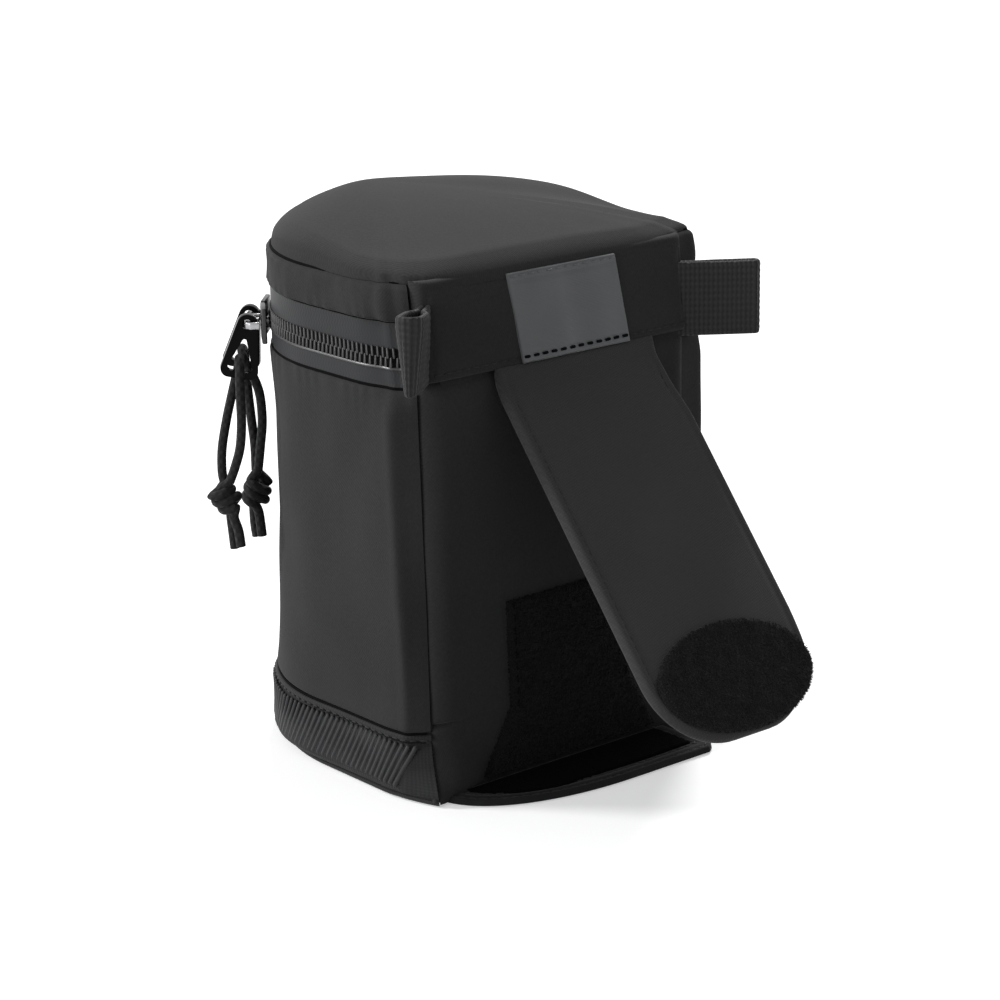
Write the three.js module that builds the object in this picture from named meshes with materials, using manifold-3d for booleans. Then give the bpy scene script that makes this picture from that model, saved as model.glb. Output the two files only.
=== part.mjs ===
// A padded belt pouch for one camera lens: a D-shaped foam-walled body, a domed lid that a zip closes,
// a belt strap with a pile pad on its tip, a tuck flap that covers the tip, and two webbing loops.
// Millimetres, +Z up. The origin is the middle of the base, the belt side faces +Y.
import * as THREE from 'three';
import { mergeVertices } from 'three/addons/utils/BufferGeometryUtils.js';
import Module from 'manifold-3d';

const wasm = await Module();
wasm.setup();

// Body: a half-round front, straight sides and a flat back with rounded corners
const BODY_WIDTH = 100;
const BODY_DEPTH = 88.5;
const BODY_HEIGHT = 103.3;

// Layers of the wall, and the air left between neighbouring layers
const CLOTH = 1.2;
const FOAM = 5.5;
const LINING = 0.8;
const LAYER_GAP = 0.3;
const BASE_PANEL = 1.4;
const BASE_FOAM = 5;
const MOUTH_BINDING_HEIGHT = 3;

// Reinforced band round the bottom and its folded upper edge
const BASE_BAND_HEIGHT = 15.2;
const BASE_BAND_PROUD = 0.4;
const BAND_EDGE_HEIGHT = 1.2;

// Zip: two coils on tapes, in the opening between body and lid
const ZIP_OPENING = 11.2;
const TAPE = 0.8;
const TAPE_WIDTH = 8;
const COIL_GAP = 1.1;
const COIL_HEIGHT = 2.2;
const COIL_DEPTH = 1.1;

// Lid
const GUSSET_HEIGHT = 15;
const GUSSET_FOAM = 3;
const LID_SHOULDER_RADIUS = 7;
const LID_SHOULDER_TURN = 75;
const LID_CROWN = 5.4;
const LID_TOP_FLAT = 0.11;
const LID_LEAN = 3;

// Back: band, label, loop pile, seam piping
const BACK_BAND_RISE = 2.4;
const BACK_BAND = 1.35;
const LABEL_WIDTH = 35;
const LABEL_HEIGHT = 22;
const LABEL = 0.6;
const LABEL_SHIFT = -0.7;
const LOOP_PANEL_WIDTH = 44;
const LOOP_PANEL_HEIGHT = 41;
const LOOP_PANEL_BOTTOM = 5;
const LOOP_PANEL = 1.2;
const PIPING_WIDTH = 1.6;
const PIPING = 0.8;

// Webbing loops on the rear corners
const WEBBING_WIDTH = 19;
const WEBBING = 1.3;
const LOOP_REACH = 18;
const LOOP_BORE = 6;
const LOOP_ROOT = 2.5;
const LOOP_ANGLE = 28;
const LOOP_RISE = 0.6;

// Belt strap, hanging open from a sewn tab under the back band
const STRAP_WIDTH = 51.5;
const STRAP_LENGTH = 94.7;
const STRAP_SHIFT = -1.8;
const STRAP_ANGLE = 39;
const STRAP_AXIS_DROP = 6.3;
const STRAP_CLOTH = 0.9;
const STRAP_FOAM = 1.2;
const STRAP_BINDING = 1.6;
const STRAP_TIP_CORNER = 19;
const OVAL_PAD_WIDTH = 47;
const OVAL_PAD_HEIGHT = 25;
const OVAL_PAD = 1;
const OVAL_PAD_MARGIN = 2.5;
const HOOK_PAD_WIDTH = 36;
const HOOK_PAD_HEIGHT = 30;
const HOOK_PAD = 0.9;
const HOOK_PAD_MARGIN = 6;
const CLOSED_CLEARANCE = 0.4;

// Tuck flap on the floor: a sewn hem and the leaf that folds up over the strap's tip
const FLAP_WIDTH = 72;
const FLAP_SHIFT = 3;
const FLAP_LEAF = 10;
const FLAP_CORNER = 9;
const FLAP_THICKNESS = 2;
const HEM_THICKNESS = 1.8;
const FLAP_HOOK_WIDTH = 46;
const FLAP_HOOK_HEIGHT = 5.6;
const FLAP_HOOK = 0.8;

// Zip sliders, which meet on the front arc at an angle from +X towards the front
const SLIDERS_MEET = 39;
const SLIDER_SPACING = 0.44;
const SLIDER_LENGTH = 8.4;
const SLIDER_HEIGHT = 9;
const SLIDER_PLATE = 1.3;
const SLIDER_WEB = 0.5;
const SLIDER_CLEARANCE = 0.5;
const BAIL_SPAN = 4.2;
const BAIL_LEG = 1.1;
const BAIL_BAR = 1.2;
const BAIL_HEIGHT = 1.8;
const BAIL_STANDOFF = 2.6;

// Pull frames, and the knotted cords through them
const PULL_EYE_RADIUS = 2.6;
const PULL_EYE_BORE = 1.4;
const PULL_FOOT_RADIUS = 2.2;
const PULL_SPREAD = 2.6;
const PULL_DROP = 11.8;
const PULL_RIM = 1.7;
const PULL_WINDOW_FOOT = 1.1;
const PULL_WINDOW_TOP = 0.55;
const PULL_THICKNESS = 2.4;
const PULL_TILT = 12;
const CORD_DIAMETER = 2.4;
const CORD_SIDES = 8;
const CORD_STEPS = 32;
const TAIL_STEPS = 4;
const KNOT_RADIUS = 4.3;
const KNOT_SIDES = 12;
const KNOT_STEPS = 9;

// How finely the round stretches are cut
const FRONT_STEPS = 28;
const CORNER_STEPS = 4;
const CROWN_STEPS = 4;
const CURVE_SEGMENTS = 8;

// Places that follow from the sizes above
const FRONT_RADIUS = BODY_WIDTH / 2;
const BACK_Y = BODY_DEPTH / 2;
const ARC_Y = FRONT_RADIUS - BACK_Y;
const FOAM_INSET = CLOTH + LAYER_GAP;
const LINING_INSET = FOAM_INSET + FOAM + LAYER_GAP;
const REAR_CORNER_RADIUS = LINING_INSET + LINING + LAYER_GAP;
const SEAM_X = FRONT_RADIUS - REAR_CORNER_RADIUS;
const SEAM_HALF = SEAM_X - LAYER_GAP;
const WALL_BOTTOM = BASE_PANEL + LAYER_GAP;
const FLOOR_LINING_BOTTOM = WALL_BOTTOM + BASE_FOAM + LAYER_GAP;
const WRAP_BOTTOM = WALL_BOTTOM + BASE_BAND_HEIGHT + BAND_EDGE_HEIGHT + 2 * LAYER_GAP;
const FOAM_TOP = BODY_HEIGHT - MOUTH_BINDING_HEIGHT - LAYER_GAP;
const ZIP_Z = BODY_HEIGHT + ZIP_OPENING / 2;
const COIL_LOW = ZIP_Z - COIL_GAP / 2;
const COIL_HIGH = ZIP_Z + COIL_GAP / 2;
const TAPE_INSET = CLOTH + LAYER_GAP;
const TAPE_BACK = TAPE_INSET + TAPE;
const COIL_FRONT = TAPE_INSET - LAYER_GAP - COIL_DEPTH;
const GUSSET_BOTTOM = BODY_HEIGHT + ZIP_OPENING;
const LID_SEAM_Z = GUSSET_BOTTOM + GUSSET_HEIGHT;
const GUSSET_TOP = LID_SEAM_Z - LAYER_GAP;
const BACK_BAND_BOTTOM = BODY_HEIGHT + BACK_BAND_RISE;

const FINISHES = {
  cloth: { color: 0x26262a, roughness: 0.9, metalness: 0 },
  ribbedCloth: { color: 0x1d1d20, roughness: 0.8, metalness: 0 },
  lining: { color: 0x33343a, roughness: 0.85, metalness: 0 },
  foam: { color: 0x3a3a3c, roughness: 1, metalness: 0 },
  pile: { color: 0x0c0c0d, roughness: 1, metalness: 0 },
  webbing: { color: 0x161618, roughness: 0.75, metalness: 0 },
  label: { color: 0x4a4d51, roughness: 0.5, metalness: 0 },
  coil: { color: 0x121214, roughness: 0.4, metalness: 0 },
  metal: { color: 0x2b2c2e, roughness: 0.35, metalness: 0.9 },
  pull: { color: 0x0d0d0e, roughness: 0.2, metalness: 0 },
  cord: { color: 0x141415, roughness: 0.8, metalness: 0 },
};

const pouch = new THREE.Group();

function addPart(parent, name, finish, geometry) {
  const mesh = new THREE.Mesh(geometry, new THREE.MeshStandardMaterial(FINISHES[finish]));
  mesh.name = name;
  parent.add(mesh);
  return mesh;
}

// The lid's rear edge sits further forward the higher it is above the body's top edge
function lean(z) {
  const share = (z - BODY_HEIGHT) / (LID_SEAM_Z - BODY_HEIGHT);
  return LID_LEAN * THREE.MathUtils.clamp(share, 0, 1);
}

function arcPoints(centreX, centreY, radius, fromDegrees, toDegrees, steps) {
  return Array.from({ length: steps + 1 }, (_, i) => {
    const angle = THREE.MathUtils.degToRad(THREE.MathUtils.lerp(fromDegrees, toDegrees, i / steps));
    return new THREE.Vector2(centreX + radius * Math.cos(angle), centreY + radius * Math.sin(angle));
  });
}

// The pouch's plan from the rear seam on +X round the front to the rear seam on -X
function planOutline(inset, z) {
  const cornerY = BACK_Y - REAR_CORNER_RADIUS - lean(z);
  const cornerRadius = REAR_CORNER_RADIUS - inset;
  return [
    ...arcPoints(SEAM_X, cornerY, cornerRadius, 90, 0, CORNER_STEPS),
    ...arcPoints(0, ARC_Y, FRONT_RADIUS - inset, 0, -180, FRONT_STEPS),
    ...arcPoints(-SEAM_X, cornerY, cornerRadius, 180, 90, CORNER_STEPS),
  ];
}

function signedVolume(positions, indices) {
  const [a, b, c] = [new THREE.Vector3(), new THREE.Vector3(), new THREE.Vector3()];
  let total = 0;
  for (let i = 0; i < indices.length; i += 3) {
    a.fromArray(positions, indices[i] * 3);
    b.fromArray(positions, indices[i + 1] * 3);
    c.fromArray(positions, indices[i + 2] * 3);
    total += a.dot(b.cross(c));
  }
  return total;
}

// Skins a row of like sections and closes both ends with the given triangles of a section
function loft(sections, capFaces) {
  const count = sections[0].length;
  const last = (sections.length - 1) * count;
  const indices = [];
  for (let row = 0; row < sections.length - 1; row += 1) {
    for (let i = 0; i < count; i += 1) {
      const a = row * count + i;
      const b = row * count + ((i + 1) % count);
      indices.push(a, b, b + count, a, b + count, a + count);
    }
  }
  for (const [a, b, c] of capFaces) {
    indices.push(c, b, a, last + a, last + b, last + c);
  }
  const positions = sections.flat().flatMap((point) => point.toArray());
  if (signedVolume(positions, indices) < 0) {
    indices.reverse();
  }
  const geometry = new THREE.BufferGeometry();
  geometry.setAttribute('position', new THREE.Float32BufferAttribute(positions, 3));
  geometry.setIndex(indices);
  geometry.computeVertexNormals();
  return geometry;
}

function planRing(inset, z) {
  return planOutline(inset, z).map((p) => new THREE.Vector3(p.x, p.y, z));
}

// A strip of the wall from rear seam to rear seam, between two insets and two heights
function wallStrip(outerInset, innerInset, low, high) {
  const corners = [[outerInset, low], [innerInset, low], [innerInset, high], [outerInset, high]];
  const columns = corners.map(([inset, z]) => planRing(inset, z));
  const sections = columns[0].map((_, i) => columns.map((column) => column[i]));
  return loft(sections, [[0, 1, 2], [0, 2, 3]]);
}

// A fan of triangles over a convex ring
function ringFaces(ring) {
  return Array.from({ length: ring.length - 2 }, (_, i) => [0, i + 1, i + 2]);
}

function planSlab(inset, low, high) {
  const rings = [planRing(inset, low), planRing(inset, high)];
  return loft(rings, ringFaces(rings[0]));
}

// Rings of the lid's crown from its seam up: a round shoulder, then a shallow dome
function crownRings(inset, low) {
  const shoulder = LID_SHOULDER_RADIUS - inset;
  const rings = arcPoints(inset + shoulder, low, shoulder, 180, 180 - LID_SHOULDER_TURN, CROWN_STEPS)
    .map(({ x, y }) => planRing(x, y));
  const rim = rings.at(-1);
  for (let step = 1; step <= CROWN_STEPS; step += 1) {
    const share = THREE.MathUtils.lerp(1, LID_TOP_FLAT, step / CROWN_STEPS);
    const rise = LID_CROWN * (1 - share * share);
    rings.push(rim.map((p) => new THREE.Vector3(p.x * share, p.y * share, p.z + rise)));
  }
  return rings;
}

// A flat plate on the back, following the lid's lean, from one distance behind the body to another
function backPlate(halfWidth, shift, low, high, near, far) {
  const sections = [low, high].map((z) => {
    const y = BACK_Y - lean(z);
    return [[-1, near], [1, near], [1, far], [-1, far]]
      .map(([side, out]) => new THREE.Vector3(shift + side * halfWidth, y + out, z));
  });
  return loft(sections, [[0, 1, 2], [0, 2, 3]]);
}

function extrude(shape, depth) {
  return new THREE.ExtrudeGeometry(shape, { depth, bevelEnabled: false, curveSegments: CURVE_SEGMENTS });
}

// Extrudes an outline of (x, z) points along Y, centred on y = 0
function extrudeAcross(shape, depth) {
  return extrude(shape, depth).rotateX(Math.PI / 2).translate(0, depth / 2, 0);
}

function addBase() {
  addPart(pouch, 'base_panel', 'ribbedCloth', planSlab(LAYER_GAP, 0, BASE_PANEL));
  addPart(pouch, 'base_foam', 'foam', planSlab(FOAM_INSET, WALL_BOTTOM, WALL_BOTTOM + BASE_FOAM));
  const liningTop = FLOOR_LINING_BOTTOM + LINING;
  addPart(pouch, 'base_lining', 'lining', planSlab(LINING_INSET, FLOOR_LINING_BOTTOM, liningTop));
}

function addWalls() {
  const bandTop = WALL_BOTTOM + BASE_BAND_HEIGHT;
  const edgeLow = bandTop + LAYER_GAP;
  const liningBottom = FLOOR_LINING_BOTTOM + LINING + LAYER_GAP;
  const liningBack = LINING_INSET + LINING;
  addPart(pouch, 'base_band', 'ribbedCloth', wallStrip(-BASE_BAND_PROUD, CLOTH, WALL_BOTTOM, bandTop));
  addPart(pouch, 'base_band_edge', 'cloth',
    wallStrip(-BASE_BAND_PROUD - LAYER_GAP, CLOTH, edgeLow, edgeLow + BAND_EDGE_HEIGHT));
  addPart(pouch, 'wrap_panel', 'cloth', wallStrip(0, CLOTH, WRAP_BOTTOM, BODY_HEIGHT));
  addPart(pouch, 'wall_foam', 'foam',
    wallStrip(FOAM_INSET, FOAM_INSET + FOAM, FLOOR_LINING_BOTTOM, FOAM_TOP));
  addPart(pouch, 'wall_lining', 'lining', wallStrip(LINING_INSET, liningBack, liningBottom, FOAM_TOP));
  addPart(pouch, 'mouth_binding', 'lining',
    wallStrip(TAPE_BACK + LAYER_GAP, liningBack, FOAM_TOP + LAYER_GAP, BODY_HEIGHT));

  addPart(pouch, 'back_panel', 'cloth',
    backPlate(SEAM_HALF, 0, WALL_BOTTOM, BACK_BAND_BOTTOM - LAYER_GAP, -CLOTH, 0));
  addPart(pouch, 'back_foam', 'foam',
    backPlate(SEAM_HALF, 0, FLOOR_LINING_BOTTOM, FOAM_TOP, -FOAM_INSET - FOAM, -FOAM_INSET));
  addPart(pouch, 'back_lining', 'lining',
    backPlate(SEAM_HALF, 0, liningBottom, FOAM_TOP, -liningBack, -LINING_INSET));
  addPart(pouch, 'back_mouth_binding', 'lining',
    backPlate(SEAM_HALF, 0, FOAM_TOP + LAYER_GAP, BODY_HEIGHT, -liningBack, -TAPE_BACK - LAYER_GAP));
}

function addBackFittings() {
  const pipingX = SEAM_HALF - PIPING_WIDTH / 2;
  for (const [side, sign] of [['left', 1], ['right', -1]]) {
    addPart(pouch, `rear_piping_${side}`, 'cloth',
      backPlate(PIPING_WIDTH / 2, sign * pipingX, WALL_BOTTOM, FOAM_TOP, LAYER_GAP, LAYER_GAP + PIPING));
  }
  const panelTop = LOOP_PANEL_BOTTOM + LOOP_PANEL_HEIGHT;
  addPart(pouch, 'loop_panel', 'pile',
    backPlate(LOOP_PANEL_WIDTH / 2, 0, LOOP_PANEL_BOTTOM, panelTop, LAYER_GAP, LAYER_GAP + LOOP_PANEL));
}

function addZip() {
  const coilBack = COIL_FRONT + COIL_DEPTH;
  for (const [half, edge, sign] of [['lower', COIL_LOW, -1], ['upper', COIL_HIGH, 1]]) {
    const [tapeEnd, coilEnd] = [edge + sign * TAPE_WIDTH, edge + sign * COIL_HEIGHT];
    addPart(pouch, `zip_tape_${half}`, 'webbing', wallStrip(TAPE_INSET, TAPE_BACK, edge, tapeEnd));
    addPart(pouch, `zip_coil_${half}`, 'coil', wallStrip(COIL_FRONT, coilBack, edge, coilEnd));
  }
}

function addLid() {
  const foamLow = COIL_HIGH + TAPE_WIDTH + LAYER_GAP;
  const foamBack = TAPE_INSET + GUSSET_FOAM;
  const liningFront = foamBack + LAYER_GAP;
  addPart(pouch, 'lid_gusset', 'cloth', wallStrip(0, CLOTH, GUSSET_BOTTOM, GUSSET_TOP));
  addPart(pouch, 'lid_gusset_foam', 'foam', wallStrip(TAPE_INSET, foamBack, foamLow, GUSSET_TOP));
  addPart(pouch, 'lid_gusset_lining', 'lining',
    wallStrip(liningFront, liningFront + LINING, GUSSET_BOTTOM, GUSSET_TOP));

  const liningTop = LID_SEAM_Z + LINING;
  addPart(pouch, 'lid_lining', 'lining', planSlab(FOAM_INSET, LID_SEAM_Z, liningTop));
  const outer = crownRings(0, LID_SEAM_Z);
  const inner = crownRings(CLOTH, LID_SEAM_Z);
  addPart(pouch, 'lid_top_panel', 'cloth', loft([...inner.toReversed(), ...outer], ringFaces(outer[0])));
  const foam = crownRings(FOAM_INSET, liningTop + LAYER_GAP);
  const foamDrop = LINING + LAYER_GAP;
  const foamRings = [foam[0], ...foam.slice(1).map((ring) => ring.map((p) => p.setZ(p.z - foamDrop)))];
  addPart(pouch, 'lid_foam', 'foam', loft(foamRings, ringFaces(foam[0])));

  const bandBack = LAYER_GAP + BACK_BAND;
  addPart(pouch, 'back_band', 'cloth',
    backPlate(SEAM_HALF, 0, BACK_BAND_BOTTOM, GUSSET_TOP, LAYER_GAP, bandBack));
  addPart(pouch, 'back_band_foam', 'foam',
    backPlate(SEAM_HALF, 0, BACK_BAND_BOTTOM, GUSSET_TOP, -GUSSET_FOAM, 0));
  addPart(pouch, 'back_band_lining', 'lining', backPlate(SEAM_HALF, 0, BACK_BAND_BOTTOM, GUSSET_TOP,
    -GUSSET_FOAM - LAYER_GAP - LINING, -GUSSET_FOAM - LAYER_GAP));
  const labelLow = BACK_BAND_BOTTOM + LAYER_GAP;
  addPart(pouch, 'label', 'label', backPlate(LABEL_WIDTH / 2, LABEL_SHIFT, labelLow, labelLow + LABEL_HEIGHT,
    bandBack + LAYER_GAP, bandBack + LAYER_GAP + LABEL));
}

// One webbing loop in plan: two plies sewn together at the root that part round an open bore
function webbingLoopShape() {
  const half = LOOP_BORE / 2;
  const bend = LOOP_REACH - half - WEBBING;
  const swell = LOOP_ROOT + half;
  const shape = new THREE.Shape();
  shape.moveTo(0, -WEBBING);
  shape.lineTo(swell, -half - WEBBING);
  shape.absarc(bend, 0, half + WEBBING, -Math.PI / 2, Math.PI / 2, false);
  shape.lineTo(swell, half + WEBBING);
  shape.lineTo(0, WEBBING);
  shape.closePath();
  const bore = new THREE.Path();
  bore.moveTo(LOOP_ROOT, 0);
  bore.lineTo(swell + WEBBING / 2, half);
  bore.absarc(bend, 0, half, Math.PI / 2, -Math.PI / 2, true);
  bore.lineTo(swell + WEBBING / 2, -half);
  bore.closePath();
  shape.holes.push(bore);
  return shape;
}

function addWebbingLoops() {
  const tilt = THREE.MathUtils.degToRad(LOOP_ANGLE);
  const rootX = SEAM_X + WEBBING * Math.sin(tilt) + LAYER_GAP;
  const rootY = BACK_Y + WEBBING * Math.cos(tilt) + LAYER_GAP;
  for (const [side, sign] of [['left', 1], ['right', -1]]) {
    const webbing = extrude(webbingLoopShape(), WEBBING_WIDTH);
    const loop = addPart(pouch, `webbing_loop_${side}`, 'webbing', webbing);
    loop.position.set(sign * rootX, rootY, BODY_HEIGHT + LOOP_RISE);
    loop.rotation.z = sign > 0 ? tilt : Math.PI - tilt;
  }
}

// The strap's edge down one side, round the tip and up the other side, inset all along
function strapEdge(inset) {
  const half = STRAP_WIDTH / 2 - inset;
  const corner = STRAP_TIP_CORNER - inset;
  const centreX = half - corner;
  const centreZ = corner + inset - STRAP_LENGTH;
  return [
    new THREE.Vector2(-half, -LAYER_GAP),
    ...arcPoints(-centreX, centreZ, corner, 180, 270, CURVE_SEGMENTS),
    ...arcPoints(centreX, centreZ, corner, 270, 360, CURVE_SEGMENTS),
    new THREE.Vector2(half, -LAYER_GAP),
  ];
}

function strapBindingShape() {
  return new THREE.Shape([...strapEdge(0), ...strapEdge(STRAP_BINDING).toReversed()]);
}

function ellipseShape(width, height, centreZ) {
  const shape = new THREE.Shape();
  shape.absellipse(0, centreZ, width / 2, height / 2, 0, 2 * Math.PI, false);
  return shape;
}

function rectangleShape(width, low, high) {
  const points = [[-1, low], [1, low], [1, high], [-1, high]];
  return new THREE.Shape(points.map(([side, z]) => new THREE.Vector2(side * width / 2, z)));
}

// A flat layer of the strap, between two distances out from its hinge line
function addStrapLayer(strap, name, finish, shape, near, thickness) {
  const geometry = extrudeAcross(shape, thickness).translate(0, near + thickness / 2, 0);
  addPart(strap, name, finish, geometry);
  return near + thickness + LAYER_GAP;
}

const strapAxisOut = LAYER_GAP + LOOP_PANEL + CLOSED_CLEARANCE + HOOK_PAD;
const strapThickness = 2 * STRAP_CLOTH + STRAP_FOAM + 2 * LAYER_GAP;

function addStrap() {
  const axisZ = BODY_HEIGHT - STRAP_AXIS_DROP;
  addPart(pouch, 'strap_tab', 'cloth', backPlate(STRAP_WIDTH / 2, STRAP_SHIFT,
    axisZ + LAYER_GAP, BACK_BAND_BOTTOM - LAYER_GAP, LAYER_GAP, strapAxisOut));

  const strap = new THREE.Group();
  strap.position.set(STRAP_SHIFT, BACK_Y + strapAxisOut, axisZ);
  strap.rotation.x = THREE.MathUtils.degToRad(STRAP_ANGLE);
  pouch.add(strap);
  const layerShape = new THREE.Shape(strapEdge(STRAP_BINDING + LAYER_GAP));
  const foamNear = addStrapLayer(strap, 'strap_lining', 'lining', layerShape, LAYER_GAP, STRAP_CLOTH);
  const faceNear = addStrapLayer(strap, 'strap_foam', 'foam', layerShape, foamNear, STRAP_FOAM);
  const padNear = addStrapLayer(strap, 'strap_face', 'cloth', layerShape, faceNear, STRAP_CLOTH);
  addStrapLayer(strap, 'strap_binding', 'cloth', strapBindingShape(), LAYER_GAP, strapThickness);
  const ovalZ = -STRAP_LENGTH + OVAL_PAD_MARGIN + OVAL_PAD_HEIGHT / 2;
  const oval = ellipseShape(OVAL_PAD_WIDTH, OVAL_PAD_HEIGHT, ovalZ);
  addStrapLayer(strap, 'oval_loop_pad', 'pile', oval, padNear, OVAL_PAD);
  const hookLow = -STRAP_LENGTH + HOOK_PAD_MARGIN;
  addStrapLayer(strap, 'strap_hook_pad', 'pile',
    rectangleShape(HOOK_PAD_WIDTH, hookLow, hookLow + HOOK_PAD_HEIGHT), -HOOK_PAD, HOOK_PAD);
}

function addTuckFlap() {
  const strapClosedOut = strapAxisOut + LAYER_GAP + strapThickness + LAYER_GAP + OVAL_PAD;
  const hemDepth = strapClosedOut + CLOSED_CLEARANCE + FLAP_HOOK;
  const hem = new THREE.BoxGeometry(FLAP_WIDTH, hemDepth, HEM_THICKNESS);
  hem.translate(FLAP_SHIFT, BACK_Y + LAYER_GAP + hemDepth / 2, HEM_THICKNESS / 2);
  addPart(pouch, 'flap_hem', 'cloth', hem);

  const leafStart = BACK_Y + LAYER_GAP + hemDepth + 2 * LAYER_GAP;
  const leafEnd = leafStart + FLAP_LEAF;
  const half = FLAP_WIDTH / 2;
  const leaf = new THREE.Shape();
  leaf.moveTo(-half, leafStart);
  leaf.lineTo(half, leafStart);
  leaf.absarc(half - FLAP_CORNER, leafEnd - FLAP_CORNER, FLAP_CORNER, 0, Math.PI / 2, false);
  leaf.absarc(-half + FLAP_CORNER, leafEnd - FLAP_CORNER, FLAP_CORNER, Math.PI / 2, Math.PI, false);
  leaf.closePath();
  addPart(pouch, 'tuck_flap', 'cloth', extrude(leaf, FLAP_THICKNESS).translate(FLAP_SHIFT, 0, 0));

  const hook = new THREE.BoxGeometry(FLAP_HOOK_WIDTH, FLAP_HOOK_HEIGHT, FLAP_HOOK);
  hook.translate(FLAP_SHIFT, (leafStart + leafEnd) / 2, FLAP_THICKNESS + LAYER_GAP + FLAP_HOOK / 2);
  addPart(pouch, 'flap_hook_strip', 'pile', hook);
}

// In a slider's own frame X points out of the wall, Y runs along the zip and Z is up from the coils
const frontPlateIn = FRONT_RADIUS - COIL_FRONT + SLIDER_CLEARANCE;
const frontPlateOut = frontPlateIn + SLIDER_PLATE;
const rearPlateOut = FRONT_RADIUS - TAPE_BACK - SLIDER_CLEARANCE;
const rearPlateIn = rearPlateOut - SLIDER_PLATE;
const pivotX = frontPlateOut + LAYER_GAP + BAIL_STANDOFF + BAIL_BAR / 2;

// Half the angle between the two sliders, so that their rear plates clear each other
function sliderHalfAngle() {
  const half = SLIDER_LENGTH / 2;
  const reach = Math.hypot(rearPlateIn, half);
  return THREE.MathUtils.radToDeg(Math.atan2(half, rearPlateIn) + Math.asin(SLIDER_SPACING / 2 / reach));
}

function sliderBodyShape() {
  const [high, web] = [SLIDER_HEIGHT / 2, SLIDER_WEB / 2];
  return new THREE.Shape([
    [rearPlateIn, -high], [rearPlateOut, -high], [rearPlateOut, -web], [frontPlateIn, -web],
    [frontPlateIn, -high], [frontPlateOut, -high], [frontPlateOut, high], [frontPlateIn, high],
    [frontPlateIn, web], [rearPlateOut, web], [rearPlateOut, high], [rearPlateIn, high],
  ].map(([x, z]) => new THREE.Vector2(x, z)));
}

function bailShape() {
  const foot = frontPlateOut + LAYER_GAP;
  const barIn = foot + BAIL_STANDOFF;
  const barOut = barIn + BAIL_BAR;
  const inner = BAIL_SPAN / 2;
  const outer = inner + BAIL_LEG;
  return new THREE.Shape([
    [foot, -outer], [barIn, -outer], [barOut, -inner], [barOut, inner], [barIn, outer],
    [foot, outer], [foot, inner], [barIn, inner], [barIn, -inner], [foot, -inner],
  ].map(([x, y]) => new THREE.Vector2(x, y)));
}

// Hull of a round eye at the top and two round feet below it
function teardrop(path, eye, eyeZ, foot, spread, footZ) {
  const drop = eyeZ - footZ;
  const side = Math.acos((eye - foot) / Math.hypot(spread, drop)) - Math.atan2(drop, spread);
  path.absarc(0, eyeZ, eye, side, Math.PI - side, false);
  path.absarc(-spread, footZ, foot, Math.PI - side, 1.5 * Math.PI, false);
  path.absarc(spread, footZ, foot, 1.5 * Math.PI, 2 * Math.PI + side, false);
  path.closePath();
  return path;
}

function pullFrameShape() {
  const shape = teardrop(new THREE.Shape(), PULL_EYE_RADIUS, 0, PULL_FOOT_RADIUS, PULL_SPREAD, -PULL_DROP);
  const eye = new THREE.Path();
  eye.absarc(0, 0, PULL_EYE_BORE, 0, 2 * Math.PI, true);
  const windowTop = -PULL_EYE_RADIUS - PULL_RIM;
  const spread = PULL_SPREAD + PULL_FOOT_RADIUS - PULL_RIM - PULL_WINDOW_FOOT;
  const footZ = -PULL_DROP - PULL_FOOT_RADIUS + PULL_RIM + PULL_WINDOW_FOOT;
  const window = teardrop(new THREE.Path(), PULL_WINDOW_TOP, windowTop, PULL_WINDOW_FOOT, spread, footZ);
  shape.holes.push(eye, window);
  return shape;
}

function cordTube(points, steps) {
  const lastCorner = 360 - 360 / CORD_SIDES;
  const section = new THREE.Shape(arcPoints(0, 0, CORD_DIAMETER / 2, 0, lastCorner, CORD_SIDES - 1));
  const extrudePath = new THREE.CatmullRomCurve3(points.map((p) => new THREE.Vector3(...p)));
  return new THREE.ExtrudeGeometry(section, { steps, extrudePath });
}

function toSolid(geometry) {
  const bare = geometry.clone();
  bare.deleteAttribute('normal');
  bare.deleteAttribute('uv');
  const merged = mergeVertices(bare);
  const vertProperties = new Float32Array(merged.getAttribute('position').array);
  const triVerts = new Uint32Array(merged.getIndex().array);
  return new wasm.Manifold(new wasm.Mesh({ numProp: 3, vertProperties, triVerts }));
}

function fromSolid(solid) {
  const mesh = solid.getMesh();
  const geometry = new THREE.BufferGeometry();
  geometry.setAttribute('position', new THREE.BufferAttribute(mesh.vertProperties, 3));
  geometry.setIndex(new THREE.BufferAttribute(mesh.triVerts, 1));
  geometry.computeVertexNormals();
  return geometry;
}

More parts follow.
